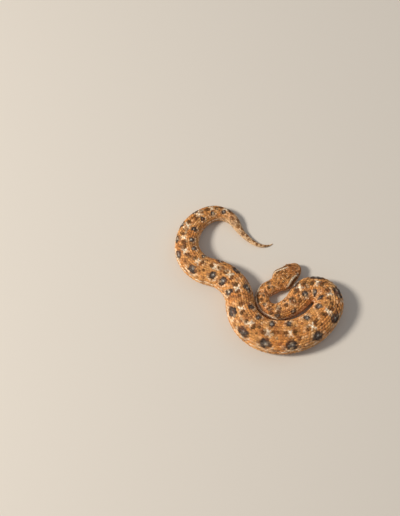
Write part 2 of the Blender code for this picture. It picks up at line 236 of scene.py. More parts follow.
class Skin:
    """The skin as a table of points: stations along the snake by columns around it.

    Columns run over the back from the right edge of the belly to the left one, and then
    across the belly. Lengths are in mm, with the origin of the frame.
    """

    BACK = 120  # steps over the back
    BELLY = 16  # steps across the belly
    BODY_STEP = 0.9
    HEAD_STATIONS = 140
    HEAD_CROWD = 1.7  # above 1, the head's stations crowd towards the snout
    SNOUT_GAP = 0.004
    ANGLES = np.linspace(0, math.pi, 721)

    def __init__(self, spine):
        self.spine = spine
        steps = np.linspace(0, 1, self.HEAD_STATIONS)
        head = HEAD_START + HEAD_LENGTH * (1 - (1 - steps) ** self.HEAD_CROWD)
        body = np.arange(0, HEAD_START, self.BODY_STEP)
        self.places = np.append(body, head[1:] - self.SNOUT_GAP)
        self.heads = (self.places - HEAD_START) / HEAD_LENGTH
        self.shares = np.linspace(-1, 1, self.BACK + 1)
        shape = (len(self.places), self.BACK + 1)
        self.side, self.up = np.zeros(shape), np.zeros(shape)
        self.edge = np.zeros(len(self.places))  # arc from the crest to the belly's edge
        for i, place in enumerate(self.places):
            self.side[i], self.up[i], self.edge[i] = self.section(place)
        self.centre()
        self.lay_out()

    def section(self, place):
        """One section over the back at even steps of arc, and the arc from crest to edge."""
        width = float(self.spine.read(self.spine.width, place))
        depth = min(COAT, SHALLOW * width / 2)
        height = width * float(self.spine.read(self.spine.share, place))
        level = WIDEST_LEVEL * height
        deep = level - BELLY_TRIM * (level - depth)
        rounds = (BACK_ROUND, BELLY_ROUND)
        side, up = oval(self.ANGLES, width / 2 - depth, height - depth, level, deep, rounds)
        base = depth
        if place > NAPE[0]:
            share = (place - HEAD_START) / HEAD_LENGTH
            half, top, level, bottom = (float(v) for v in head_form(max(share, 0.0)))
            depth = COAT * min(1.0, half / (2 * COAT))
            chin = bottom + depth
            deep = level - BELLY_TRIM * (level - chin)
            rounds = (CROWN_ROUND, CHIN_ROUND)
            head = oval(self.ANGLES, half - depth, top - depth, level, deep, rounds)
            mix = float(smooth(place, *NAPE))
            side = side * (1 - mix) + head[0] * mix
            up = up * (1 - mix) + head[1] * mix
            base = base * (1 - mix) + chin * mix
        last = int(np.argmax(up <= base)) if (up <= base).any() else len(up) - 1
        part = (up[last - 1] - base) / max(1e-9, up[last - 1] - up[last])
        side = np.append(side[:last], side[last - 1] + (side[last] - side[last - 1]) * part)
        up = np.append(up[:last], base)
        arc = np.append(0, np.cumsum(np.hypot(np.diff(side), np.diff(up))))
        steps = np.abs(self.shares) * arc[-1]
        return np.interp(steps, arc, side) * np.sign(self.shares), np.interp(steps, arc, up), arc[-1]

    def centre(self):
        """Sets the origin under the middle of the frame's box."""
        reach = []
        body, head = np.arange(0, HEAD_START, 1.0), np.linspace(HEAD_START, self.spine.length, 40)
        for place in np.append(body, head):
            if place < HEAD_START:
                half = float(self.spine.read(self.spine.width, place)) / 2
            else:
                half = float(head_form((place - HEAD_START) / HEAD_LENGTH)[0])
            turn = float(self.spine.read(self.spine.heading, place))
            x, y = (float(self.spine.read(v, place)) for v in (self.spine.x, self.spine.y))
            for side in (-half, half):
                reach.append((x - side * math.sin(turn), y + side * math.cos(turn)))
        low, high = np.min(reach, 0), np.max(reach, 0)
        size = np.array(cad_box[0][:2]) + np.array(cad_box[1][:2])
        self.middle = (low + high) / 2 - size / 2 / MM

    def lay_out(self):
        """Works out every point, its outward direction and the way to the snout."""
        place = self.places
        self.bend = self.spine.read(self.spine.bend, place)
        turn = self.spine.read(self.spine.heading, place)
        zero = np.zeros(len(place))
        self.forward = np.stack([np.cos(turn), np.sin(turn), zero], 1)
        self.left = np.stack([-np.sin(turn), np.cos(turn), zero], 1)
        x = self.spine.read(self.spine.x, place) - self.middle[0]
        y = self.spine.read(self.spine.y, place) - self.middle[1]
        self.foot = np.stack([x, y, zero], 1)
        self.normal = self.plain_normals()
        self.points = self.foot[:, None, :] + self.left[:, None, :] * self.side[:, :, None]
        self.points[:, :, 2] += self.up
        relief = body_relief(self) + head_relief(self)
        self.points += self.normal * relief[:, :, None]
        ahead = place > HEAD_START - 3
        self.normal[ahead] = self.measured_normals()[ahead]
        # how much longer the skin is than the spine under it where it slopes, as on the snout
        rise = np.gradient(self.up, place, axis=0)
        taper = np.gradient(self.side, place, axis=0)
        self.steep = np.minimum(np.sqrt(1 + rise**2 + taper**2), 6.0)

    def plain_normals(self):
        """Outward directions, from how the section grows along the body and turns around it."""
        side_on = np.gradient(self.side, self.places, axis=0)
        up_on = np.gradient(self.up, self.places, axis=0)
        side_round = np.gradient(self.side, axis=1)
        up_round = np.gradient(self.up, axis=1)
        stretch = np.maximum(1 - self.side * self.bend[:, None], 0.22)
        ahead = side_on * up_round - up_on * side_round
        out = -stretch * up_round
        made = ahead[:, :, None] * self.forward[:, None, :] + out[:, :, None] * self.left[:, None, :]
        made[:, :, 2] += stretch * side_round
        return unit(made)

    def measured_normals(self):
        """Outward directions, from the finished points."""
        return unit(np.cross(np.gradient(self.points, axis=0), np.gradient(self.points, axis=1)))

    def edge_at(self, place):
        """The arc from the crest to the belly's edge."""
        return np.interp(place, self.places, self.edge)

    def back_at(self, place, share):
        """The way along the skin towards the tail."""
        return self.at(self.points, place - 0.4, share) - self.at(self.points, place + 0.4, share)

    def stretch_at(self, place, share):
        """How long the skin is there for each mm of spine, as the bends stretch and squeeze it."""
        return 1 - self.at(self.side, place, share) * np.interp(place, self.places, self.bend)

    def at(self, table, place, share):
        """Reads a table of values at places along and shares around, between its points."""
        i = np.clip(np.interp(place, self.places, np.arange(len(self.places))), 0, len(self.places) - 1.001)
        j = np.clip((np.asarray(share) + 1) / 2 * self.BACK, 0, self.BACK - 0.001)
        i0, j0 = i.astype(int), j.astype(int)
        fi, fj = i - i0, j - j0
        if table.ndim == 3:
            fi, fj = fi[:, None], fj[:, None]
        near = table[i0, j0] * (1 - fj) + table[i0, j0 + 1] * fj
        far = table[i0 + 1, j0] * (1 - fj) + table[i0 + 1, j0 + 1] * fj
        return near * (1 - fi) + far * fi


# ---------------------------------------------------------------- folds and features of the skin

def body_relief(skin):
    """Wrinkles inside the tight bends and long pleats low on the outside of the hairpin."""
    place = skin.places[:, None]
    share = skin.shares[None, :]
    inner = smooth(1 - skin.side * skin.bend[:, None], 0.75, 0.25)
    ripple = 0.5 + 0.5 * np.cos(2 * math.pi * place / 2.9 + 1.3 * grain(place / 9, share * 3, 11))
    wrinkle = -0.28 * inner * ripple
    arc = share * skin.edge[:, None]
    window = smooth(place, 236, 250) * smooth(place, 292, 280) * smooth(-share, 0.42, 0.60)
    pleat = -0.30 * window * (0.5 + 0.5 * np.cos(2 * math.pi * (arc + 0.5 * np.sin(place / 7)) / 2.1))
    small = smooth(skin.edge[:, None], 3, 9)
    return (wrinkle + pleat) * small * smooth(place, 352, 346)


SIDE_FORMS = [  # rise in mm, then middle and width along the head and up its side, and its wall
    (-0.30, (0.80, 0.055), (6.4, 1.0), (2.5, 4.0)),  # before the eye
    (-0.26, (0.50, 0.07), (6.6, 1.3), (4, 6)),  # behind the eye
    (0.12, (0.26, 0.10), (5.6, 1.8), (5, 7)),  # cheek
]


def head_relief(skin):
    """The mouth, brows, cheeks, nostrils and the hollows before and behind the eyes."""
    share = skin.heads[:, None]
    over = skin.up - along(MOUTH, share)  # mm above the mouth's line
    side = np.abs(skin.side)
    on_head = smooth(share, 0.02, 0.12)
    gape = smooth(share, 0.11, 0.17)
    groove = -0.42 * bump(over, 0, 0.20) * gape
    lip = 0.08 * bump(over, 0.55, 0.4) * gape
    under = -0.16 * smooth(over, 0.1, -0.4) * gape
    brow_line = 0.72 * along(HEAD_WIDTH, share) / 2
    brow = 0.16 * bump(side, brow_line, 1.0) * smooth(over, 4.4, 5.4)
    brow = brow * smooth(share, 0.40, 0.56) * smooth(share, 0.96, 0.84)
    crown = -0.26 * bump(side, 0, 1.6) * smooth(over, 4.5, 5.5)
    crown = crown * smooth(share, 0.34, 0.5) * smooth(share, 0.86, 0.74)
    loreal, temple, cheek = (
        rise * bump(share, *spot) * bump(skin.up, *height) * smooth(side, *wall)
        for rise, spot, height, wall in SIDE_FORMS
    )
    out = (share - NOSTRIL_SHARE) * HEAD_LENGTH
    pit = -0.70 * np.exp(-(out**2 + (skin.up - NOSTRIL_HEIGHT) ** 2) / 0.14) * smooth(side, 1, 2)
    eye = np.hypot((share - EYE_SHARE) * HEAD_LENGTH, skin.up - EYE_HEIGHT)
    orbit = (0.30 * bump(eye, 1.95, 0.45) - 0.25 * smooth(eye, 1.5, 1.1)) * smooth(side, 3.5, 4.8)
    return (groove + lip + under + brow + crown + loreal + temple + cheek + pit + orbit) * on_head


# ---------------------------------------------------------------- markings

# Where the pale marks lie: mm from the tail tip, and mm of arc to the left of the crest.
MARKS = [(50.5, -3.8), (60, -2.6), (71, -2.6), (84, -2.9), (94.5, -3.0), (105, -2.6), (118, 0.3)]
MARKS += [(133, 2.2), (145, 1.5), (158, -0.3), (175, -0.8), (189, -1.5), (204, -1.4), (220.5, -1.2)]
MARKS += [(238, -1.6), (255, -1.5), (269.5, -0.9), (281.5, -2.2), (292.5, -3.6)]
NECK_MARKS = [(307.5, -0.2), (318, -0.6), (328.5, -0.4), (339, 0.2), (348, 0.6)]
# Small brown spots on the neck: mm from the tail tip, mm of arc to the left of the crest, radius.
NECK_SPOTS = [(342, 6.5, 1.2), (340, 5.0, 1.1), (337.5, 3.4, 1.2), (333.5, 3.8, 1.2), (333.5, 0.6, 1.2)]
NECK_SPOTS += [(344, 4.2, 1.0), (348, 3.2, 1.5), (346, -0.6, 1.1), (349, -2.3, 1.1), (341, -1.2, 1.1)]
NECK_SPOTS += [(329.5, 0.4, 1.3), (337, -0.8, 1.0), (324, 0.4, 1.5), (322, 3.2, 1.1), (317, -1.1, 1.7)]
NECK_SPOTS += [(317.5, 2.0, 1.2), (310.5, -0.6, 1.5), (304, -1.9, 1.9), (303.5, 0.6, 1.4), (300.5, 3.1, 1.3)]
NECK_SPOTS += [(295, -5.2, 1.4), (296, -2.7, 1.3), (310, -5.2, 1.2), (323, -3.6, 1.1), (331, -3.4, 1.0)]
NECK_SPOT_SPREAD = 1.35
GAP_SPOTS = [(7.0, 0.5, 1.5), (6.3, 5.2, 1.0), (7.2, -4.8, 1.1), (5.0, -6.8, 0.8)]  # from a mark, radius
TAIL_BLOTCHES = [4, 7, 10, 13.5, 17, 20.5, 24, 27.5, 31, 34.5, 38, 42, 46]
WIDEST_EDGE = 29.7  # mm of arc from the crest to the belly where the snake is stoutest
EYESPOT_ACROSS = 9.1  # mm of arc from the marks' middle line to an eyespot, there
EYESPOT_LENGTH, EYESPOT_HEIGHT = 3.9, 4.4  # half sizes, there
FLANK_LINE = 0.555  # share around the skin at which a thin pale line runs under the eyespots
# The pale line from the brow to the jaw's corner on each side, as the head's share and mm from
# its middle plane, and the foot of the dark band under it, as the share and mm of height.
TEMPLE_LEFT = [(0.06, 7.4), (0.12, 8.2), (0.2, 8.1), (0.3, 7.0), (0.45, 5.2), (0.60, 4.0)]
TEMPLE_RIGHT = [(0.06, 7.4), (0.12, 8.0), (0.2, 7.8), (0.3, 6.9), (0.5, 5.6), (0.8, 4.9)]
TEMPLE_FOOT = [(0.1, 4.0), (0.2, 4.6), (0.35, 5.3), (0.6, 6.0)]
# Brown spots on the crown: share of the head's length, mm of arc to the left, radius in mm.
CROWN_SPOTS = [(0.10, 2.4, 0.7), (0.02, -1.6, 0.8), (0.20, -2.8, 0.7), (0.24, 1.2, 0.6), (0.34, 3.8, 0.55)]
CROWN_SPOTS += [(0.33, -1.0, 0.6), (0.44, 1.5, 0.5), (0.13, 5.4, 0.6), (0.08, -4.8, 0.65), (0.48, -2.4, 0.5)]


def stain(x, y, half_x, half_y, ragged, soft=0.11):
    """A spot with these half sizes and a ragged rim, from 0 to 1."""
    return smooth(np.hypot(x / half_x, y / half_y) + ragged, 1 + soft, 1 - soft)


def pale_mark(x, y, bold, roll, ragged):
    """Two crossed strokes and a blot where they meet."""
    slant = 0.62 + 0.16 * roll[0]
    stroke = np.abs(np.abs(x + 0.15 * roll[1] * y) - slant * np.abs(y))
    reach = smooth(np.abs(y), 3.4 * bold, 2.4 * bold)
    strokes = smooth(stroke + 1.1 * ragged, 0.80 * bold, 0.35 * bold) * reach
    return np.maximum(strokes, stain(x, y, 1.05 * bold, 1.5 * bold, ragged))


def brown_marks(x, y, bold, root, roll, ragged, pale):
    """A blotch before and behind a pale mark, and small spots in the gap behind it."""
    marks = []
    for way, side in ((-1, roll[2]), (1, roll[3])):
        off = x - way * (3.45 + 0.3 * side) * bold
        blotch = stain(off, y - 1.2 * side * root, 1.75 * bold, 2.4 * bold, ragged)
        marks.append(blotch * (1 - 0.8 * pale))
    for back, aside, size in GAP_SPOTS:
        off_x, off_y = x - (back + 0.5 * roll[4]) * root, y - (aside + 1.6 * roll[5]) * root
        marks.append(0.9 * stain(off_x, off_y, size * root, size * root, ragged))
    return np.maximum.reduce(marks)


def eyespot(x, y, hand, middle, local, roll, ragged, neck):
    """An eyespot on one flank: dark scales round a pale grey middle, and a pale rim under them."""
    big = (1.0 if hand < 0 else 0.84) * (1 - 0.12 * float(smooth(middle, 150, 120)))
    trim, faint = 1.0, 1.0
    if neck:
        trim = 0.85
        faint = 0.3 if hand < 0 else float(smooth(middle, 335, 315)) * 0.45 + 0.5
    tall = EYESPOT_HEIGHT * local**0.7 * big * trim
    long = EYESPOT_LENGTH * math.sqrt(local) * big * trim
    x = x - 0.8 * (hand > 0) - 0.5 * roll[6 + (hand > 0)]
    y = y - hand * (EYESPOT_ACROSS * local + (1.2 if neck else 0.0))
    lobes = 0.07 * np.cos(7 * np.arctan2(y / tall, x / long) + 3 * roll[8])
    far = np.hypot(x / long, y / tall) + lobes + 0.8 * ragged
    rim = bump(far, 1.30, 0.12) * smooth(hand * y, -0.2 * tall, 0.5 * tall)
    heart_x, heart_y = 0.12 * long + 0.22, 0.10 * tall + 0.18
    heart = stain(x, y + hand * 0.16 * tall, heart_x, heart_y, 0.4 * ragged, 0.4)
    return {
        "ink_and_painted_shade": smooth(far, 1.10, 0.90) * faint,
        "slate": smooth(far, 0.66, 0.34),
        "cream": 0.7 * rim * (0.5 if neck else 1.0),
        "core": heart * (0.3 if neck else 0.72),
    }


def pale_line(place, share, edge, fine, ragged):
    """The thin pale line under the eyespots, broken into grains but for the neck's outer flank."""
    loop = smooth(place, 314, 326) * smooth(place, 346, 338) * (share > 0)
    wave = FLANK_LINE + 0.018 * np.sin(place * 0.62) + 0.03 * ragged - 0.15 * loop
    line = smooth(np.abs(np.abs(share) - wave) * edge, 0.85 + 0.4 * loop, 0.45 + 0.3 * loop)
    return line * np.maximum(smooth(fine, -0.36, -0.12), 0.8 * loop) * smooth(place, 40, 60) * 0.9


def tail_blotches(place, arc, edge, ragged):
    """Brown blotches along the tail, to one side and the other in turn."""
    marks = []
    for number, middle in enumerate(TAIL_BLOTCHES):
        size = 0.9 + 0.020 * middle
        sideways = (0.05 if number % 2 else -0.30) * edge
        marks.append(stain(place - middle, arc - sideways, size, size * 1.1, 1.2 * ragged))
    return np.maximum.reduce(marks)


def markings(skin, place, share):
    """The strength of every marking at places and shares, each from 0 to 1."""
    edge = skin.edge_at(place)
    arc = share * edge
    fine = grain(place / 0.9, arc / 0.9, 3) - 0.5
    ragged = 0.45 * (grain(place / 1.7, arc / 1.7, 4) - 0.5) + 0.22 * fine
    marks = {key: np.zeros(len(place)) for key in ("ink_and_painted_shade", "core", "cream", "umber", "slate")}

    def lay_over(near, **strengths):
        for key, strength in strengths.items():
            marks[key][near] = np.maximum(marks[key][near], strength)

    dice = np.random.default_rng(5)
    for number, (middle, centre) in enumerate(MARKS + NECK_MARKS):
        neck = number >= len(MARKS)
        local = float(skin.edge_at(middle)) / WIDEST_EDGE
        bold = local**0.22
        roll = dice.uniform(-1, 1, 12)
        near = np.abs(place - middle) < 9.5
        x, y, rag = (place - middle)[near], (arc - centre)[near], ragged[near]
        pale = pale_mark(x, y, bold, roll, rag)
        lay_over(near, cream=pale * (0.22 if neck else 1.0))
        if not neck:
            lay_over(near, umber=brown_marks(x, y, bold, math.sqrt(local), roll, rag, pale))
        for hand in (-1, 1):
            lay_over(near, **eyespot(x, y, hand, middle, local, roll, rag, neck))
    for middle, centre, size in NECK_SPOTS:
        near = np.abs(place - middle) < 3
        wide = NECK_SPOT_SPREAD * size
        spot = stain((place - middle)[near], (arc - centre)[near], wide, wide, 0.7 * ragged[near], 0.16)
        lay_over(near, umber=spot)
    ink_and_painted_shade, cream = marks["ink_and_painted_shade"], marks["cream"]
    aside = np.abs(share)
    rust = smooth(grain(place / 1.3, arc / 1.2, 21), 0.60, 0.80) * smooth(aside, 0.60, 0.45)
    rust = 0.55 * rust * smooth(place, 30, 60) * (1 - ink_and_painted_shade) * (1 - cream)
    flank = smooth(aside, 0.58, 0.72) * 0.35 + smooth(aside, 0.72, 0.95) * 0.55
    tail = smooth(place, VENT + 12, VENT - 6)
    tail_flank = smooth(aside, 0.22, 0.45) * smooth(place, VENT + 22, VENT)
    blotches = tail_blotches(place, arc, edge, ragged)
    line = pale_line(place, share, edge, fine, ragged)
    head = head_markings(skin, place, share)
    body = 1 - head["there"]
    dark = np.maximum.reduce([ink_and_painted_shade * body * (1 - 0.6 * tail), 0.42 * blotches, head["ink_and_painted_shade"]])
    return {
        "ink_and_painted_shade": dark,
        "slate": marks["slate"] * body,
        "core": marks["core"] * body,
        "cream": np.maximum(np.maximum(cream * (1 - dark), line) * body, head["cream"]),
        "umber": np.maximum.reduce([marks["umber"] * (1 - ink_and_painted_shade) * body, head["umber"], 0.35 * blotches]),
        "rust": np.maximum(rust * body, head["rust"]),
        "pale": np.maximum.reduce([flank, 0.85 * tail * (1 - blotches), 0.95 * tail_flank, head["pale"]]),
    }


def head_markings(skin, place, share):
    """A dark band from the eye to the jaw's corner under a pale line, pale lips, a flecked crown, and painted
    shade in the mouth's slit and the nostrils.
    """
    ahead = (place - HEAD_START) / HEAD_LENGTH
    edge = skin.edge_at(place)
    arc = share * edge
    height = skin.at(skin.up, place, share)
    there = smooth(place, HEAD_START - 5, HEAD_START + 1)
    over = height - along(MOUTH, np.maximum(ahead, 0.14))
    ragged = grain(place / 1.0, arc / 1.0, 8) - 0.5
    leftward = skin.at(skin.side, place, share)
    side = np.abs(leftward)
    temple = np.where(leftward > 0, along(TEMPLE_LEFT, ahead), along(TEMPLE_RIGHT, ahead))
    crest = head_rise(clamp01(ahead), temple) - COAT
    off = np.hypot(side - temple, height - crest) + 0.5 * ragged
    front = np.where(leftward > 0, 0.62, 0.74)
    on_band = smooth(ahead, 0.04, 0.12) * smooth(ahead, front + 0.03, front - 0.03)
    foot = along(TEMPLE_FOOT, ahead) + 0.4 * ragged
    band = smooth(crest - height, 0.1, 0.6) * smooth(height, foot - 0.4, foot + 0.4) * on_band
    line = smooth(off, 0.85, 0.50) * on_band
    streak = np.abs((ahead - 0.70) * HEAD_LENGTH + 0.5 * (height - 5))
    bar = smooth(streak, 0.9, 0.5) * smooth(height, 6.2, 5.6) * smooth(over, 0.0, 0.4)
    crown = np.maximum(smooth(temple - side, -0.1, 0.5), smooth(ahead, 0.58, 0.64)) * smooth(height, 8.0, 9.0)
    spots = smooth(grain(place / 0.95, arc / 0.95, 31), 0.70, 0.80)
    for spot_ahead, spot_side, size in CROWN_SPOTS:
        off = np.hypot((ahead - spot_ahead) * HEAD_LENGTH, arc - spot_side) + 0.7 * ragged
        spots = np.maximum(spots, smooth(off, size + 0.25, size - 0.25))
    arms = np.abs(np.abs(arc) - 3.4 + 5.5 * (ahead - 0.30) + 0.8 * ragged)
    arrow = smooth(arms, 0.85, 0.35) * smooth(ahead, 0.16, 0.24) * smooth(ahead, 0.56, 0.48)
    lips = smooth(over, 2.0, 1.0) * smooth(ahead, 0.10, 0.2)
    muzzle = smooth(ahead, 0.52, 0.70)
    dusk = 0.45 * crown * muzzle
    spots = np.maximum(spots, 0.8 * muzzle * smooth(grain(place / 0.8, arc / 0.8, 33), 0.56, 0.66))
    # Painted shade: the mouth's slit and the nostrils' holes are painted dark, as if in shadow.
    gape = smooth(np.abs(over), 0.34, 0.14) * smooth(ahead, 0.10, 0.16)
    hole = head_side(NOSTRIL_SHARE, NOSTRIL_HEIGHT) - COAT
    pit = np.hypot((ahead - NOSTRIL_SHARE) * HEAD_LENGTH, height - NOSTRIL_HEIGHT) + np.abs(side - hole) * 0.4
    return {
        "there": there,
        "ink_and_painted_shade": there * np.maximum(smooth(pit, 0.62, 0.38), 0.9 * gape),
        "umber": there * clamp01(band * 0.85 + bar * 0.7 + 0.85 * crown * spots + 0.4 * arrow * crown),
        "rust": there * clamp01(0.30 * crown * grain(place / 2.4, arc / 2.4, 77) + dusk),
        "cream": there * line,
        "pale": there * clamp01(lips * 0.8),
    }


# ---------------------------------------------------------------- materials

def colour(red, green, blue):
    """A screen colour from 0 to 255 as linear light."""
    parts = []
    for value in (red, green, blue):
        value = value / 255
        parts.append(value / 12.92 if value <= 0.04045 else ((value + 0.055) / 1.055) ** 2.4)
    return (*parts, 1.0)


TAN = colour(219, 158, 90)
SAND = colour(206, 145, 79)
ORANGE = colour(217, 139, 66)
CREAM = colour(246, 226, 194)
FLANK = colour(222, 186, 142)
UMBER = colour(124, 72, 24)
OLIVE = colour(98, 66, 22)
RUST = colour(164, 98, 54)
INK_AND_PAINTED_SHADE = colour(68, 49, 36)
SLATE = colour(112, 98, 86)
CORE = colour(240, 232, 218)
# Painted shade: the colour that darkens the skin in the gaps under the scales.
PAINTED_SKIN_SHADE = colour(150, 108, 74)


class Nodes:
    """A node tree, with short ways to add nodes and to feed their sockets."""

    def __init__(self, tree):
        self.tree = tree

    def node(self, kind, **settings):
        made = self.tree.nodes.new(kind)
        for key, value in settings.items():
            setattr(made, key, value)
        return made

    def feed(self, socket, value):
        """Links another node's output to a socket, or sets the socket to a plain value."""
        if isinstance(value, bpy.types.NodeSocket):
            self.tree.links.new(value, socket)
        else:
            socket.default_value = value

    def fill(self, made, **values):
        """Feeds a node's inputs by their names, with _ for a space, and gives the node back."""
        for name, value in values.items():
            wanted = name.replace("_", " ")
            self.feed(next(s for s in made.inputs if s.name == wanted and s.enabled), value)
        return made

    def maths(self, operation, first, second):
        made = self.node("ShaderNodeMath", operation=operation)
        self.feed(made.inputs[0], first)
        self.feed(made.inputs[1], second)
        return made.outputs[0]


class Sheet(Nodes):
    """A material's node tree."""

    def __init__(self, name):
        self.material = bpy.data.materials.new(name)
        self.material.use_nodes = True
        super().__init__(self.material.node_tree)
        self.shader = self.tree.nodes["Principled BSDF"]

    def attribute(self, name):
        return self.node("ShaderNodeAttribute", attribute_name=name).outputs["Fac"]

    def noise(self, scale, detail=2.0, rough=0.5, where=None):
        made = self.node("ShaderNodeTexNoise")
        where = where or self.node("ShaderNodeTexCoord").outputs["Object"]
        return self.fill(made, Scale=scale, Detail=detail, Roughness=rough, Vector=where).outputs["Fac"]

    def remap(self, value, low, high, to_low=0.0, to_high=1.0):
        made = self.node("ShaderNodeMapRange")
        self.fill(made, Value=value, From_Min=low, From_Max=high, To_Min=to_low, To_Max=to_high)
        return made.outputs["Result"]

    def mix(self, amount, first, second, blend="MIX"):
        made = self.node("ShaderNodeMix", data_type="RGBA", blend_type=blend)
        self.fill(made, Factor=amount, A=first, B=second)
        return next(s for s in made.outputs if s.enabled)

    def bump(self, height, distance, strength):
        made = self.fill(self.node("ShaderNodeBump"), Distance=distance, Strength=strength, Height=height)
        self.fill(self.shader, Normal=made.outputs["Normal"])


def marked_colour(sheet):
    """The snake's markings over its ground colour, from the attributes of the piece."""
    cloud = sheet.noise(95.0, 3.0, 0.6)
    ground = sheet.mix(sheet.remap(cloud, 0.36, 0.64), TAN, ORANGE)
    dust = sheet.noise(430.0, rough=0.6)
    ground = sheet.mix(sheet.remap(dust, 0.50, 0.66, 0.0, 0.55), ground, SAND)
    tint = sheet.mix(sheet.attribute("pale"), ground, FLANK)
    tint = sheet.mix(sheet.attribute("rust"), tint, RUST)
    brown = sheet.mix(sheet.remap(dust, 0.40, 0.60), UMBER, OLIVE)
    tint = sheet.mix(sheet.attribute("umber"), tint, brown)
    # The dark marks, with the painted shade of the mouth's slit and the nostrils, go on here with a slate
    # middle.
    middle = sheet.maths("MULTIPLY", sheet.attribute("slate"), sheet.remap(dust, 0.3, 0.6))
    tint = sheet.mix(sheet.attribute("ink_and_painted_shade"), tint, sheet.mix(middle, INK_AND_PAINTED_SHADE, SLATE))
    tint = sheet.mix(sheet.attribute("cream"), tint, CREAM)
    return sheet.mix(sheet.attribute("core"), tint, CORE)


def scale_material():
    """Dry keeled scales, no two quite alike, with a painted highlight along the keel and painted shade at the
    root and rim.
    """
    sheet = Sheet("keeled_scales")
    tint = marked_colour(sheet)
    chance = sheet.attribute("chance")
    light = sheet.remap(chance, 0.0, 1.0, 0.70, 1.25)
    tint = sheet.mix(sheet.remap(chance, 0.80, 0.96, 0.0, 0.42), tint, FLANK)
    tint = sheet.mix(sheet.remap(chance, 0.20, 0.04, 0.0, 0.45), tint, RUST)
    fleck = sheet.remap(sheet.noise(1050.0, 3.0, 0.7), 0.34, 0.66, 0.64, 1.33)
    light = sheet.maths("MULTIPLY", light, fleck)
    # Multiplies in the plates' painted shade at rim and root and their painted highlight along the keel.
    light = sheet.maths("MULTIPLY", light, sheet.attribute("shade"))
    tone = sheet.fill(sheet.node("ShaderNodeCombineColor"), Red=light, Green=light, Blue=light)
    tint = sheet.mix(1.0, tint, tone.outputs["Color"], "MULTIPLY")
    rough = sheet.remap(sheet.noise(700.0), 0.35, 0.65, 0.50, 0.66)
    sheet.fill(sheet.shader, Base_Color=tint, Roughness=rough, Specular_IOR_Level=0.35)
    sheet.bump(sheet.noise(5200.0, 3.0, 0.7), 0.00005, 0.5)
    return sheet.material


def belly_material():
    """Smooth cream plates with a faint sheen and a few grey flecks."""
    sheet = Sheet("belly_plates")
    cloud = sheet.noise(160.0, 3.0, 0.6)
    tint = sheet.mix(sheet.remap(cloud, 0.35, 0.65), colour(236, 214, 184), colour(222, 192, 158))
    flecks = sheet.remap(sheet.noise(620.0, rough=0.6), 0.62, 0.70)
    tint = sheet.mix(sheet.maths("MULTIPLY", flecks, 0.35), tint, colour(150, 126, 104))
    tint = sheet.mix(sheet.maths("MULTIPLY", sheet.attribute("ink_and_painted_shade"), 0.5), tint, SLATE)
    sheet.fill(sheet.shader, Base_Color=tint, Roughness=sheet.remap(cloud, 0.3, 0.7, 0.34, 0.46))
    sheet.bump(sheet.noise(2600.0), 0.00003, 0.4)
    return sheet.material


def skin_material():
    """The skin between the scales: the same markings, darkened with painted shade where the scales cover it,
    duller and finely creased.
    """
    sheet = Sheet("skin")
    tint = marked_colour(sheet)
    # Painted shade: the skin between the scales is darkened as if the scales over it shaded it.
    tint = sheet.mix(0.25, tint, PAINTED_SKIN_SHADE, "MULTIPLY")
    crease = sheet.noise(2400.0, 4.0, 0.7)
    rough = sheet.remap(crease, 0.3, 0.7, 0.58, 0.74)
    sheet.fill(sheet.shader, Base_Color=tint, Roughness=rough, Specular_IOR_Level=0.3)
    sheet.bump(crease, 0.00006, 0.8)
    return sheet.material


def eye_material():
    """A coppery iris with an upright slit pupil, under a clear wet surface."""
    sheet = Sheet("eye")
    gaze = sheet.node("ShaderNodeAttribute", attribute_name="gaze").outputs["Vector"]
    ahead, up = sheet.fill(sheet.node("ShaderNodeSeparateXYZ"), Vector=gaze).outputs[:2]
    slit = sheet.maths("POWER", sheet.maths("DIVIDE", ahead, 0.17), 2.0)
    tall = sheet.maths("POWER", sheet.maths("DIVIDE", up, 0.66), 2.0)
    pupil = sheet.remap(sheet.maths("ADD", slit, tall), 1.08, 0.92)
    middle = sheet.maths("ADD", sheet.maths("POWER", ahead, 2.0), sheet.maths("POWER", up, 2.0))
    radius = sheet.maths("POWER", middle, 0.5)
    rays = sheet.remap(sheet.noise(7.0, 4.0, where=gaze), 0.30, 0.72)
    copper = sheet.mix(rays, colour(196, 138, 78), colour(122, 80, 46))
    gold = sheet.mix(sheet.remap(radius, 0.55, 0.18, 0.0, 0.7), copper, colour(214, 168, 104))
    rim = sheet.mix(sheet.remap(radius, 0.74, 0.94), gold, colour(44, 30, 22))
    tint = sheet.mix(pupil, rim, (0.006, 0.004, 0.003, 1.0))
    sheet.fill(sheet.shader, Base_Color=tint, Roughness=0.07, Coat_Weight=0.6, Coat_Roughness=0.03)
    return sheet.material


def horn_material():
    """A dry horn, darker at its root, with fine rings."""
    sheet = Sheet("horn")
    rise = sheet.attribute("rise")
    cloud = sheet.noise(900.0, 3.0, 0.6)
    tint = sheet.mix(sheet.remap(cloud, 0.35, 0.65), colour(206, 156, 104), colour(164, 112, 66))
    tint = sheet.mix(sheet.remap(rise, 0.35, 0.0, 0.0, 0.7), tint, colour(120, 80, 48))
    tint = sheet.mix(sheet.remap(rise, 0.75, 1.0, 0.0, 0.5), tint, colour(228, 196, 150))
    sheet.fill(sheet.shader, Base_Color=tint, Roughness=sheet.remap(cloud, 0.3, 0.7, 0.42, 0.58))
    sheet.bump(sheet.noise(3000.0), 0.00004, 0.5)
    return sheet.material


# ---------------------------------------------------------------- meshes

def add_values(mesh, values):
    """Stores arrays as float attributes of the mesh's points."""
    for name, array in values.items():
        made = mesh.attributes.new(name, "FLOAT", "POINT")
        made.data.foreach_set("value", np.ascontiguousarray(array, np.float32).ravel())


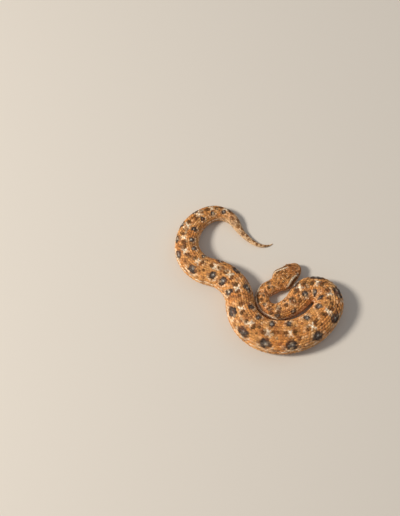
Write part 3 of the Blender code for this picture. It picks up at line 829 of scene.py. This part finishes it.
def add_vectors(mesh, name, rows):
    """Stores rows of two or three numbers as a vector attribute of the mesh's points."""
    made = mesh.attributes.new(name, "FLOAT_VECTOR", "POINT")
    filled = np.zeros((len(rows), 3), np.float32)
    filled[:, : rows.shape[1]] = rows
    made.data.foreach_set("vector", filled.ravel())


def read_rows(mesh, data, field):
    rows = np.zeros(len(mesh.vertices) * 3, np.float32)
    data.foreach_get(field, rows)
    return rows.reshape(-1, 3)


def move_points(mesh, points):
    mesh.vertices.foreach_set("co", points.astype(np.float32).ravel())
    mesh.update()


def new_object(name, data):
    obj = bpy.data.objects.new(name, data)
    bpy.context.scene.collection.objects.link(obj)
    return obj


def turn_outward(shape, mesh):
    """Turns a shape's faces outward and writes it to the mesh, shaded smooth."""
    bmesh.ops.recalc_face_normals(shape, faces=shape.faces)
    shape.to_mesh(mesh)
    shape.free()
    mesh.shade_smooth()


def tube(name, rings):
    """A closed mesh through rings of points in metres, with a flat cap at each end."""
    count, around = rings.shape[:2]
    index = np.arange(count * around).reshape(count, around)
    after = np.roll(index, -1, axis=1)
    quads = np.stack([index[:-1], after[:-1], after[1:], index[1:]], axis=2).reshape(-1, 4)
    ends = [index[0, ::-1].tolist(), index[-1].tolist()]
    mesh = bpy.data.meshes.new(name)
    mesh.from_pydata(rings.reshape(-1, 3).tolist(), [], quads.tolist() + ends)
    shape = bmesh.new()
    shape.from_mesh(mesh)
    turn_outward(shape, mesh)
    return mesh


def skin_object(skin, material):
    """The whole skin as one closed mesh, tail tip to snout, with the belly flat."""
    back = skin.points
    count = len(skin.places)
    part = np.arange(1, skin.BELLY)[:, None] / skin.BELLY
    belly = back[:, -1:] * (1 - part) + back[:, :1] * part
    mesh = tube("skin", np.concatenate([back, belly], axis=1) * MM)
    share = np.append(skin.shares, np.ones(skin.BELLY - 1))
    marks = markings(skin, np.repeat(skin.places, len(share)), np.tile(share, count))
    lower = np.tile(np.append(np.zeros(skin.BACK + 1), np.ones(skin.BELLY - 1)), count)
    marks["pale"] = np.maximum(marks["pale"], lower)
    for key in ("ink_and_painted_shade", "umber", "rust", "cream", "core", "slate"):
        marks[key] = marks[key] * (1 - lower)
    add_values(mesh, marks)
    mesh.materials.append(material)
    return new_object("skin_whole", mesh)


def arched(u):
    """The rise of a plate that lies open, from its root to its tip."""
    return math.sin(math.pi * min(1.0, 0.12 + 0.80 * u))


def tucked(u):
    """The rise of a scale that is flat where the scale ahead of it covers it."""
    return float(smooth(u, 0.20, 0.62)) * (1 - 1.3 * max(0.0, u - 0.7))


KEEL_HALF = 0.22  # half the keel's breadth, as a share of the plate's half width
KEEL_CROWD = 1.4  # above 1, a plate's columns crowd towards its keel


def plate(name, outline, rising, crown, keel, columns, rows):
    """One scale, a unit long: its root at 0, its free tip at 1, half a unit wide at most to each side.

    outline gives the half width at a share of the length, and rising its share of the full height.
    The underside is one flat face.
    """
    shape = bmesh.new()
    grid = []
    for i in range(rows + 1):
        u = i / rows
        half, lift = outline(u), rising(u)
        line = []
        for j in range(columns + 1):
            v = 2 * j / columns - 1
            v = math.copysign(abs(v) ** KEEL_CROWD, v)
            rise = 0.0
            if abs(v) < 1 and 0 < i < rows:
                rise = crown * (1 - v * v) * lift + keel * max(0.0, 1 - abs(v) / KEEL_HALF) * lift
            line.append(shape.verts.new((u, v * half, rise)))
        grid.append(line)
    for near, far in zip(grid, grid[1:]):
        for j in range(columns):
            shape.faces.new((near[j], far[j], far[j + 1], near[j + 1]))
    left, right = ([line[side] for line in grid[1:]] for side in (0, -1))
    shape.faces.new(grid[0] + right + grid[-1][-2:0:-1] + left[::-1])
    mesh = bpy.data.meshes.new(name)
    turn_outward(shape, mesh)
    across, high = np.array([(v.co.y, v.co.z) for v in mesh.vertices]).T
    spots = np.array([(v.co.x, v.co.y) for v in mesh.vertices])
    add_vectors(mesh, "spot", spots)
    rim, ridge, root = high == 0, (abs(across) < 0.02) & (high > 0), spots[:, 0] < 0.3
    # Painted light on each plate: painted shade at the thin rim and at the root under the scale ahead, and a
    # painted highlight along the keel.
    add_values(mesh, {"shade": 1.0 - 0.12 * rim + 0.14 * ridge - 0.22 * root})
    return new_object(name, mesh)


def leaf(u):
    """The outline of a body scale: broad and pointed."""
    return 0.5 * min(1.0, 0.55 + 1.5 * u) * max(0.0, 1 - max(0.0, (u - 0.42) / 0.58) ** 2.1) ** 0.72 + 0.012


def rounded(u):
    """The outline of a small head scale."""
    return 0.5 * min(1.0, 0.6 + 1.6 * u) * max(0.0, 1 - max(0.0, (u - 0.5) / 0.5) ** 2.4) ** 0.6 + 0.02


def broad(u):
    """The outline of a belly plate or a lip plate, with soft corners."""
    return 0.5 * max(0.0, 1 - abs(2 * u - 1) ** 7) ** 0.35 + 0.03


def coat_tree():
    """Geometry Nodes that set one plate on every point, tilted and sized a little unlike the next."""
    tree = bpy.data.node_groups.new("scale_coat", "GeometryNodeTree")
    kinds = {"Points": "Geometry", "Plate": "Object", "Lift": "Float", "Unevenness": "Float"}
    kinds |= {"Sway": "Float", "Seed": "Int", "Finish": "Material"}
    for name, kind in kinds.items():
        tree.interface.new_socket(name, in_out="INPUT", socket_type="NodeSocket" + kind)
    tree.interface.new_socket("Coat", in_out="OUTPUT", socket_type="NodeSocketGeometry")
    nodes = Nodes(tree)
    given = nodes.node("NodeGroupInput").outputs

    def add(kind, output, settings=None, **inputs):
        """Adds a node, feeds its inputs and gives the output of that name."""
        made = nodes.fill(nodes.node(kind, **(settings or {})), **inputs)
        return next(s for s in made.outputs if s.name == output and s.enabled)

    def stored(name, kind):
        return add("GeometryNodeInputNamedAttribute", "Attribute", {"data_type": kind}, Name=name)

    def chance(low, high, seed):
        return add("FunctionNodeRandomValue", "Value", {"data_type": "FLOAT"}, Min=low, Max=high, Seed=seed)

    # a random size about 1, and a small random turn on the skin
    small = nodes.maths("SUBTRACT", 1.0, given["Unevenness"])
    large = nodes.maths("ADD", 1.0, given["Unevenness"])
    even = chance(small, large, given["Seed"])
    back_sway = nodes.maths("MULTIPLY", given["Sway"], -1.0)
    sway = chance(back_sway, given["Sway"], nodes.maths("ADD", given["Seed"], 1.0))
    rise = nodes.maths("MULTIPLY", given["Lift"], -1.0)
    euler = add("ShaderNodeCombineXYZ", "Vector", Y=rise, Z=sway)
    tilt = add("FunctionNodeEulerToRotation", "Rotation", Euler=euler)
    turn = nodes.node("FunctionNodeRotateRotation", rotation_space="LOCAL")
    nodes.fill(turn, Rotation=stored("lie", "QUATERNION"), Rotate_By=tilt)
    grow = nodes.node("ShaderNodeVectorMath", operation="SCALE")
    nodes.fill(grow, Vector=stored("size", "FLOAT_VECTOR"), Scale=even)
    piece = add("GeometryNodeObjectInfo", "Geometry", {"transform_space": "ORIGINAL"}, Object=given["Plate"])
    dots = add("GeometryNodeMeshToPoints", "Points", Mesh=given["Points"])
    spread = nodes.node("GeometryNodeInstanceOnPoints")
    nodes.fill(spread, Points=dots, Instance=piece, Rotation=turn.outputs[0], Scale=grow.outputs[0])
    whole = add("GeometryNodeRealizeInstances", "Geometry", Geometry=spread.outputs[0])
    finish = add("GeometryNodeSetMaterial", "Geometry", Geometry=whole, Material=given["Finish"])
    nodes.fill(nodes.node("NodeGroupOutput"), Coat=finish)
    return tree


def skin_axes(normal, back):
    """Three unit directions for every plate: to its free tip, across it, and out of the skin."""
    out = unit(normal)
    tip = unit(back - out * (back * out).sum(1, keepdims=True))
    return tip, np.cross(out, tip), out


class Lay:
    """Where the plates of one coat lie: their roots, directions, sizes and reach over the skin.

    The plates of a flat lay reach nowhere and so aren't bent to the skin.
    """

    def __init__(self, skin, place, share, size, flat=False):
        self.place, self.share, self.size = (np.asarray(rows, float) for rows in (place, share, size))
        self.root = skin.at(skin.points, self.place, self.share)
        self.normal = skin.at(skin.normal, self.place, self.share)
        self.back = skin.back_at(self.place, self.share)
        fold = np.linalg.norm(self.back, axis=1) < 0.1
        self.back[fold] = -skin.forward[np.searchsorted(skin.places, self.place[fold]) - 1]
        along_skin = self.size[:, 0] / np.maximum(skin.stretch_at(self.place, self.share), LEAST_STRETCH)
        around_skin = self.size[:, 1] / skin.edge_at(self.place)
        self.reach = np.stack([along_skin, around_skin], 1)
        if flat:
            self.reach[:] = 0

    def keep(self, mask):
        for key in ("place", "share", "root", "normal", "back", "size", "reach"):
            setattr(self, key, getattr(self, key)[mask])
        return self

    def turns(self):
        """Every plate's rotation: X to its free tip, Z away from the skin."""
        axes = skin_axes(self.normal, self.back)
        return [Matrix(rows).transposed().to_quaternion() for rows in zip(*axes)]


def set_lay(skin, rows):
    """A flat lay from rows of place, share, size, root, way back and normal."""
    places, shares, sizes, roots, backs, normals = zip(*rows)
    lay = Lay(skin, places, shares, sizes, flat=True)
    lay.root, lay.back, lay.normal = np.array(roots), np.array(backs), np.array(normals)
    return lay


def scatter(name, lay, tree, inputs):
    """Sets one plate on every point of a lay, and gives them back as one plain mesh."""
    mesh = bpy.data.meshes.new(name + "_points")
    mesh.from_pydata((lay.root * MM).tolist(), [], [])
    turn = mesh.attributes.new("lie", "QUATERNION", "POINT")
    turn.data.foreach_set("value", np.array(lay.turns(), np.float32).ravel())
    add_vectors(mesh, "size", lay.size * MM)
    add_vectors(mesh, "home", np.stack([lay.place, lay.share], 1))
    add_vectors(mesh, "reach", lay.reach)
    add_values(mesh, {"chance": np.random.default_rng(inputs["Seed"]).random(len(lay.place))})
    guide = new_object(name + "_guide", mesh)
    modifier = guide.modifiers.new("coat", "NODES")
    modifier.node_group = tree
    for item in tree.interface.items_tree:
        if item.in_out == "INPUT" and item.name in inputs:
            modifier[item.identifier] = inputs[item.name]
    graph = bpy.context.evaluated_depsgraph_get()
    graph.update()
    grown = guide.evaluated_get(graph)
    made = bpy.data.meshes.new_from_object(grown, preserve_all_data_layers=True, depsgraph=graph)
    bpy.data.objects.remove(guide)
    made.name = name
    return made


def coat(name, skin, lay, plate_object, tree, finish, seed, lift=0.0, unevenness=0.06, sway=0.04):
    """Grows one coat from its lay: bent to the skin, marked as the skin is, with its OFBake map."""
    inputs = {"Plate": plate_object, "Finish": finish, "Seed": seed}
    inputs |= {"Lift": lift, "Unevenness": unevenness, "Sway": sway}
    made = scatter(name, lay, tree, inputs)
    kept = (read_rows(made, made.attributes[key].data, "vector") for key in ("home", "reach", "spot"))
    home, reach, spot = (rows.astype(float) for rows in kept)
    place, share = (home - spot * reach)[:, :2].T
    whole = markings(skin, home[:, 0] - 0.4 * reach[:, 0], home[:, 1])
    parts = markings(skin, np.clip(place, 0, skin.places[-1]), np.clip(share, -1, 1))
    add_values(made, {key: WHOLE_SHARE * whole[key] + (1 - WHOLE_SHARE) * parts[key] for key in parts})
    if reach.any():
        wrap(made, skin, home)
    points = read_rows(made, made.vertices, "co")
    points[:, 2] = np.maximum(points[:, 2], LOWEST)
    move_points(made, points)
    bake_map(made, home, spot, lay)
    made.materials.clear()
    made.materials.append(finish)
    return new_object(name, made)


def wrap(mesh, skin, home):
    """Bends every plate so that it follows the skin under it, apart from a small share."""
    points = read_rows(mesh, mesh.vertices, "co").astype(float) / MM
    place, share = home[:, 0], home[:, 1]
    axes = skin_axes(skin.at(skin.normal, place, share), skin.back_at(place, share))
    off = points - skin.at(skin.points, place, share)
    back, aside, high = ((off * axis).sum(1) for axis in axes)
    stretch = np.maximum(skin.stretch_at(place, share), LEAST_STRETCH)
    new_place = np.clip(place - back / stretch / skin.at(skin.steep, place, share), 0.0, skin.places[-1])
    new_share = share - aside / skin.edge_at(place)
    lost = np.abs(new_share) > 1
    new_share = np.clip(new_share, -1, 1)
    over = skin.at(skin.normal, new_place, new_share)
    bent = skin.at(skin.points, new_place, new_share) + over * high[:, None]
    bent[lost] = points[lost]
    move_points(mesh, (points * STIFF + bent * (1 - STIFF)) * MM)


def bake_map(mesh, home, spot, lay):
    """The OFBake map: every plate is a small patch at its root's place on the skin's own unwrap."""
    low, high = lay.place.min(), lay.place.max() + 0.01
    root = np.stack([(home[:, 0] - low) / (high - low), (home[:, 1] + 1) / 2], 1)
    places = MAP_MARGIN + (1 - 2 * MAP_MARGIN) * clamp01(root) + (spot[:, :2] - (0.5, 0.0)) * MAP_PATCH
    corner = np.zeros(len(mesh.loops), np.int32)
    mesh.loops.foreach_get("vertex_index", corner)
    layer = mesh.uv_layers.new(name="OFBake")
    layer.data.foreach_set("uv", places[corner].astype(np.float32).ravel())
    for name in ("home", "spot", "reach", "lie", "size"):
        if name in mesh.attributes:
            mesh.attributes.remove(mesh.attributes[name])


# ---------------------------------------------------------------- the lie of the scales

def pitch_at(place, skin):
    """Length of one row of scales along the body."""
    girth = skin.spine.read(skin.spine.width, place)
    return 0.62 + (0.070 if place > VENT else 0.12) * girth


# How much longer and wider a scale is than its own room in the rows, so that it overlaps the next.
BODY_OVERLAP, HEAD_OVERLAP, BELLY_OVERLAP = (1.52, 1.22), (1.42, 1.14), (1.35, 1.02)
ROWS = [(1.5, 7), (7, 9), (13, 11), (20, 13), (29, 15), (38, 19), (58, 21), (74, 23), (92, 25), (112, 27)]
ROWS += [(272, 25), (290, 23), (304, 21), (351.5, 21)]


def rows_at(place):
    """How many rows of scales lie side by side over the back."""
    return next((rows for start, rows in reversed(ROWS) if place >= start), ROWS[0][1])


def body_lay(skin, start, end):
    """Keeled scales in even rows, every second row half a scale further on."""
    scales = []
    ring = 1.2
    while ring < HEAD_START - 0.5:
        pitch = float(pitch_at(ring, skin))
        if start <= ring < end:
            count = rows_at(ring)
            width = 2 * float(skin.edge_at(ring)) / count
            for row in range(count):
                place = ring + 0.5 * pitch * (row % 2)
                share = (2 * row + 1) / count - 1
                stretch = min(1.5, max(0.55, float(skin.stretch_at([place], [share])[0])))
                lower = 1 + 0.18 * smooth(abs(share), 0.8, 1.0)
                long, wide = pitch * BODY_OVERLAP[0] * stretch, width * BODY_OVERLAP[1] * lower
                scales.append((place, share, (long, wide, min(pitch, width * 1.3))))
        ring += pitch
    return Lay(skin, *zip(*scales))


def head_lay(skin):
    """Small scales over the head, in rings that close up towards the snout."""
    scales = []
    rise = np.gradient(skin.up[:, skin.BACK // 2], skin.places)
    place, ring = HEAD_START + 0.2, 0
    while place < skin.spine.length - 0.05:
        ahead = (place - HEAD_START) / HEAD_LENGTH
        pitch = 1.28 - 0.40 * float(smooth(ahead, 0.25, 0.9))
        edge = float(skin.edge_at(place))
        count = max(5, int(round(2 * edge / (pitch * 0.98))))
        size = (pitch * HEAD_OVERLAP[0], 2 * edge / count * HEAD_OVERLAP[1], pitch)
        scales += [(place, (2 * i + 1 + ring % 2) / count - 1, size) for i in range(count)]
        place += pitch / math.hypot(1, float(np.interp(place, skin.places, rise)))
        ring += 1
    return Lay(skin, *zip(*scales))


def head_axes(skin):
    """The ways ahead and to the left of the head."""
    turn = float(skin.spine.heading[-1])
    return np.array([math.cos(turn), math.sin(turn), 0.0]), np.array([-math.sin(turn), math.cos(turn), 0.0])


def head_point(skin, ahead, side, height):
    """A point of the head in the frame, in mm."""
    place = HEAD_START + HEAD_LENGTH * ahead
    x, y = (float(skin.spine.read(values, place)) for values in (skin.spine.x, skin.spine.y))
    middle = np.array([x - skin.middle[0], y - skin.middle[1], height])
    return middle + head_axes(skin)[1] * side


def eye_centre(skin, hand):
    out = float(head_side(EYE_SHARE, EYE_HEIGHT)) + EYE_OUT - EYE_RADIUS
    return head_point(skin, EYE_SHARE, out * hand, EYE_HEIGHT)


def horn_root(skin, hand):
    return head_point(skin, HORN_SHARE, HORN_SIDE * hand, float(head_rise(HORN_SHARE, HORN_SIDE)))


def nostril_centre(skin, hand):
    out = float(head_side(NOSTRIL_SHARE, NOSTRIL_HEIGHT))
    return head_point(skin, NOSTRIL_SHARE, out * hand, NOSTRIL_HEIGHT)


def reach_to(lay, point):
    """How near every scale comes to a point, by its root, middle and tip."""
    way = unit(lay.back) * lay.size[:, :1]
    spots = (lay.root + way * part for part in (0.0, 0.45, 0.9))
    return np.min([np.linalg.norm(spot - point, axis=1) for spot in spots], axis=0)


def clear_of_features(skin, lay):
    """Leaves out the scales that would lie on an eye, a horn's root, a nostril or the lips."""
    ahead = (lay.place - HEAD_START) / HEAD_LENGTH
    over = lay.root[:, 2] - along(MOUTH, np.maximum(ahead, 0.14))
    keep = ~((ahead > 0.21) & (over > -1.25) & (over < 1.15))
    for hand in (-1, 1):
        for centre, room in ((eye_centre, 2.35), (horn_root, 1.15), (nostril_centre, 0.85)):
            keep &= reach_to(lay, centre(skin, hand)) > room
    return lay.keep(keep)


def share_of_height(skin, place, height):
    """The share around the head at which its wall has this height."""
    shares = np.linspace(0.15, 1, 120)
    column = skin.at(skin.up, np.full(120, place), shares)
    return float(np.interp(-height, -column, shares))


LIP_ROWS = [(0.72, 1.25, 2.3, 0.10), (-0.66, 1.10, 1.9, -0.30)]  # over the mouth, height, front, lean


def lip_lay(skin):
    """The plates of the lips: one wide plate at the snout, then rows back to the mouth's corners."""
    ahead = np.linspace(0.988, 0.15, 140)
    place = HEAD_START + HEAD_LENGTH * ahead
    front_way, left_way = head_axes(skin)
    plates = []
    for over, tall, front, lean in LIP_ROWS:
        upward = np.array([0, 0, lean])
        heights = along(MOUTH, ahead) + over
        share = np.array([share_of_height(skin, *pair) for pair in zip(place, heights)])
        sides = {hand: skin.at(skin.points, place, share * hand) for hand in (-1, 1)}
        middle = (sides[1][0] + sides[-1][0]) / 2 + front_way * 0.10
        gap = np.linalg.norm(sides[1][0] - sides[-1][0]) / 2
        size = (front, tall * 1.2, 1.1)
        root = middle - left_way * front / 2
        plates.append((place[0], share[0], size, root, left_way, front_way + upward))
        for hand, line in sides.items():
            arc = gap + np.append(0, np.cumsum(np.linalg.norm(np.diff(line, axis=0), axis=1)))
            start = front / 2 * 0.94
            while start < arc[-1] - 1:
                long = 1.10 + 0.90 * float(smooth(start, 1, 12))
                root, near, far = (
                    np.array([np.interp(start + step, arc, line[:, k]) for k in range(3)])
                    for step in (0, 0.1, 0.9)
                )
                out = unit(np.cross(far - near, (0, 0, 1.0)) * hand) + upward
                spot, around = float(np.interp(start, arc, place)), float(np.interp(start, arc, share))
                plates.append((spot, around * hand, (long * 1.12, tall, 0.9), root, far - near, out))
                start += long
    lay = set_lay(skin, plates)
    lay.normal = unit(lay.normal)
    lay.root = lay.root + lay.normal * 0.04
    return lay


def feature_lay(skin, centre, hand, tilt, rings):
    """Rings of small scales round an eye, a horn's root or a nostril, their tips pointing away.

    tilt turns the rings' plane from the head's side, at 0, up to its crown, at 1. Every ring is
    a radius, a count, the size of its scales, how far they stand off the skin and their lean.
    """
    ahead, left = head_axes(skin)
    rise = tilt * math.pi / 2
    out = left * hand * math.cos(rise) + np.array([0, 0, math.sin(rise)])
    over = np.cross(out, ahead)
    first = int(np.argmax(skin.places > HEAD_START))
    table = skin.points[first:]
    scales = []
    for number, (radius, count, size, lift, lean) in enumerate(rings):
        for i in range(count):
            angle = 2 * math.pi * (i + 0.5 * (number % 2)) / count
            ray = ahead * math.cos(angle) + over * math.sin(angle)
            off = table - (centre + ray * radius)
            off = off - out * (off @ out)[:, :, None] * 0.6
            row, column = np.unravel_index(np.argmin((off**2).sum(2)), off.shape[:2])
            scales.append((skin.places[first + row], skin.shares[column], size, ray, lift, lean))
    places, shares, sizes, rays, lifts, leans = zip(*scales)
    lay = Lay(skin, places, shares, sizes, flat=True)
    lay.back = np.array(rays)
    lay.root = lay.root + lay.normal * np.array(lifts)[:, None]
    lay.normal = lay.normal + lay.back * np.array(leans)[:, None]
    return lay


def ring_lay(skin, hand):
    """Two rings of small scales round the eye, two at the horn's root and two at the nostril."""
    eye = [(1.24, 15, (0.92, 0.64, 0.9), 0.34, 0.30), (2.0, 17, (0.95, 0.86, 0.9), 0.04, 0.05)]
    horn = [(0.62, 8, (0.85, 0.62, 0.9), 0.0, 0.25), (1.28, 12, (1.0, 0.80, 0.9), 0.0, 0.08)]
    nostril = [(0.42, 8, (0.62, 0.42, 0.7), 0.02, 0.15), (0.95, 11, (0.85, 0.64, 0.8), 0.0, 0.06)]
    return [
        feature_lay(skin, eye_centre(skin, hand), hand, 0.12, eye),
        feature_lay(skin, horn_root(skin, hand), hand, 0.8, horn),
        feature_lay(skin, nostril_centre(skin, hand), hand, 0.1, nostril),
    ]


def belly_lay(skin):
    """One broad plate for each ring of the belly, pairs under the tail and small ones under the chin."""
    plates = []
    place = 2.0
    while place < skin.spine.length - 0.3:
        chin = place > HEAD_START + 2
        pitch = 1.25 if chin else float(pitch_at(place, skin))
        spots = np.array([place - 0.3, place, min(place + 0.3, skin.places[-1])])
        right, left = (skin.at(skin.points, spots, np.full(3, hand)) for hand in (-1.0, 1.0))
        width = float(np.linalg.norm(left[1] - right[1]))
        way = unit((left[2] + right[2] - left[0] - right[0]) / 2)
        down = -unit(np.cross(way, left[1] - right[1]))
        count = max(2, int(round(width / 1.5))) if chin else (1 if place > VENT else 2)
        wide = (width + (0.3 if chin else 0.9)) / count
        size = (pitch * BELLY_OVERLAP[0], wide * BELLY_OVERLAP[1], 0.9)
        for number in range(count):
            part = (number + 0.5) / count
            root = right[1] * (1 - part) + left[1] * part
            plates.append((place, 2 * part - 1, size, root, -way, down))
        place += pitch * (abs(way[:2] @ skin.forward[-1][:2]) if chin else 1.0)
    return set_lay(skin, plates)


# ---------------------------------------------------------------- eyes and horns

def ball(name, radius, rings=40, sides=64):
    """A round ball of even rings, closed by a fan of triangles at each pole."""
    points = [(0.0, 0.0, radius)]
    for i in range(1, rings):
        fall = math.pi * i / rings
        for j in range(sides):
            turn = 2 * math.pi * j / sides
            out = radius * math.sin(fall)
            points.append((out * math.cos(turn), out * math.sin(turn), radius * math.cos(fall)))
    points.append((0.0, 0.0, -radius))
    index = 1 + np.arange((rings - 1) * sides).reshape(rings - 1, sides)
    beside = np.roll(index, -1, axis=1)
    quads = np.stack([index[:-1], index[1:], beside[1:], beside[:-1]], axis=2).reshape(-1, 4)
    top = [(0, a, b) for a, b in zip(index[0].tolist(), beside[0].tolist())]
    foot = [(len(points) - 1, b, a) for a, b in zip(index[-1].tolist(), beside[-1].tolist())]
    mesh = bpy.data.meshes.new(name)
    mesh.from_pydata(points, [], top + quads.tolist() + foot)
    return mesh


GAZE_RISE = 0.20  # how far the eye looks up, in radians
GAZE_AHEAD = 0.10


def eye_object(skin, side_name, hand, material):
    """The eye as a clear round ball, with its own directions for the pupil."""
    mesh = ball("eyeball_" + side_name, (EYE_RADIUS - 0.02) * MM)
    ahead, left = head_axes(skin)
    out = left * hand * math.cos(GAZE_RISE) + np.array([0, 0, math.sin(GAZE_RISE)])
    out = unit(out + ahead * GAZE_AHEAD)
    ahead = unit(ahead - out * (ahead @ out))
    up = unit(np.array([0, 0, 1.0]) - out * out[2])
    points = np.array([tuple(v.co) for v in mesh.vertices]) / (EYE_RADIUS * MM)
    add_vectors(mesh, "gaze", points @ np.stack([ahead, up, out], 1))
    mesh.transform(Matrix.Translation(Vector(eye_centre(skin, hand) * MM)))
    mesh.materials.append(material)
    mesh.shade_smooth()
    return new_object("eyeball_" + side_name, mesh)


HORN_RINGS, HORN_SIDES = 26, 28


def horn_object(skin, side_name, hand, material):
    """The horn: one long pointed scale with fine rings and a blunt ridge in front."""
    forward, left = (Vector(way) for way in head_axes(skin))
    lean = forward * HORN_LEAN[0] + left * HORN_LEAN[1] * hand + Vector((0, 0, HORN_LEAN[2]))
    lean.normalize()
    across = lean.cross(forward).normalized()
    ahead = across.cross(lean).normalized()
    root = Vector(horn_root(skin, hand))
    shares = [i / (HORN_RINGS - 1) for i in range(HORN_RINGS)]
    rings = []
    for share in shares:
        reach = HORN_LENGTH * share - 0.5 * (1 - share)
        middle = root + lean * reach - forward * HORN_CURL * share**2
        radius = (HORN_RADIUS - 0.03) * max(0.07, (1 - share) ** 0.75) * (1 + 0.05 * math.sin(share * 46))
        for j in range(HORN_SIDES):
            angle = 2 * math.pi * j / HORN_SIDES
            ridge = 1 + 0.10 * max(0.0, math.cos(angle)) ** 6
            point = middle + (ahead * math.cos(angle) * ridge + across * math.sin(angle) * 0.92) * radius
            rings.append(tuple(point * MM))
    mesh = tube("hornlet_" + side_name, np.array(rings).reshape(HORN_RINGS, HORN_SIDES, 3))
    add_values(mesh, {"rise": np.repeat(shares, HORN_SIDES)})
    mesh.materials.append(material)
    return new_object("hornlet_" + side_name, mesh)


# ---------------------------------------------------------------- floor, light and camera

VIEW_POINT = Vector((-0.0461, 0.0196, 0.0))  # on the floor, from the frame's origin
VIEW_HEIGHT = 68  # degrees above the floor
VIEW_DISTANCE = 1.0
LENS = 87.2
FLOOR_HALF, FLOOR_DROP = 1.5, 0.0001
STUDIO_TINT, STUDIO_STRENGTH = (0.94, 0.95, 1.0, 1.0), 0.31
LAMPS = {  # place, width, power and tint of each, pointing to the frame's origin
    "key": ((-1.35, -0.12, 1.25), 0.42, 32.5, (1.0, 0.955, 0.89)),
    "fill": ((0.7, 0.5, 0.9), 0.8, 1.0, (0.94, 0.97, 1.0)),
}


def add_floor():
    corners = [(x * FLOOR_HALF, y * FLOOR_HALF, -FLOOR_DROP) for x, y in ((-1, -1), (1, -1), (1, 1), (-1, 1))]
    mesh = bpy.data.meshes.new("floor")
    mesh.from_pydata(corners, [], [(0, 1, 2, 3)])
    sheet = Sheet("floor")
    sheet.fill(sheet.shader, Base_Color=colour(214, 206, 194), Roughness=0.9)
    mesh.materials.append(sheet.material)
    new_object("floor", mesh)


def point_along(obj, place, way):
    """Sets a lamp or the camera in its place, looking along a direction."""
    obj.location = place
    obj.rotation_mode = "QUATERNION"
    obj.rotation_quaternion = way.to_track_quat("-Z", "Y")


def add_studio():
    world = bpy.data.worlds.new("studio")
    bpy.context.scene.world = world
    world.use_nodes = True
    back = world.node_tree.nodes["Background"]
    Nodes(world.node_tree).fill(back, Color=STUDIO_TINT, Strength=STUDIO_STRENGTH)
    for name, (place, width, power, tint) in LAMPS.items():
        lamp = bpy.data.lights.new(name, "AREA")
        lamp.shape = "DISK"
        lamp.size = width
        lamp.energy = power
        lamp.color = tint
        point_along(new_object(name, lamp), place, -Vector(place))
    bpy.context.scene.view_settings.view_transform = "Standard"


def add_camera():
    lens = bpy.data.cameras.new("camera")
    lens.lens = LENS
    lens.sensor_width = 36
    lens.clip_start = 0.01
    tilt = math.radians(VIEW_HEIGHT)
    away = Vector((0, -math.cos(tilt), math.sin(tilt)))
    obj = new_object("camera", lens)
    point_along(obj, VIEW_POINT + away * VIEW_DISTANCE, -away)
    bpy.context.scene.camera = obj


# ---------------------------------------------------------------- the whole snake

BODY_COATS = {  # the coats of the body: where each starts and ends
    "coat_tail": (0, VENT),
    "coat_rear": (VENT, 106),
    "coat_waist": (106, 170),
    "coat_coil": (170, 232),
    "coat_hairpin": (232, 296),
    "coat_neck": (296, HEAD_START),
}


def dress(piece, slot, *nodes):
    """Gives a piece its body and hides the solids it stands for; its slot is not used."""
    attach(piece, "root")
    if nodes:
        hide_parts(*nodes)


def main(eyes, horns):
    skin = Skin(Spine())
    scales, belly = scale_material(), belly_material()
    dress(skin_object(skin, skin_material()), "back_scales", *FLESH)
    tree = coat_tree()
    plates = {
        "back": plate("back_plate", leaf, tucked, 0.09, 0.15, 8, 6),
        "head": plate("head_plate", rounded, tucked, 0.13, 0.09, 4, 5),
        "lip": plate("lip_plate", broad, arched, 0.16, 0.0, 6, 6),
        "belly": plate("belly_plate", broad, arched, 0.10, 0.0, 8, 5),
    }

    def grow(name, kind, lay, seed, slot="back_scales", finish=scales, **loose):
        dress(coat(name, skin, lay, plates[kind], tree, finish, seed, **loose), slot)

    for seed, (name, (start, end)) in enumerate(BODY_COATS.items()):
        slot = "pale_scales" if name == "coat_tail" else "back_scales"
        grow(name, "back", body_lay(skin, start, end), 40 + seed, slot, lift=0.048)
    lay = clear_of_features(skin, head_lay(skin))
    grow("coat_head", "head", lay, 60, lift=0.07, unevenness=0.09, sway=0.12)
    grow("coat_lips", "lip", lip_lay(skin), 61, "pale_scales", lift=0.03, unevenness=0.04, sway=0.02)
    for seed, (side_name, hand) in enumerate((("left", 1), ("right", -1))):
        names = ("eye_ring_", "horn_collar_", "nostril_rim_")
        for number, (name, lay) in enumerate(zip(names, ring_lay(skin, hand))):
            grow(name + side_name, "head", lay, 70 + seed + 2 * number, lift=0.05)
        dress(eye_object(skin, side_name, hand, eyes), "eye", "eye_" + side_name)
        dress(horn_object(skin, side_name, hand, horns), "horn", "horn_" + side_name)
    lay = belly_lay(skin)
    grow("belly_coat", "belly", lay, 80, "belly_scales", belly, lift=0.02, unevenness=0.01, sway=0.0)
    for obj in plates.values():
        bpy.data.objects.remove(obj)


main(eye_material(), horn_material())
add_floor()
add_studio()
add_camera()
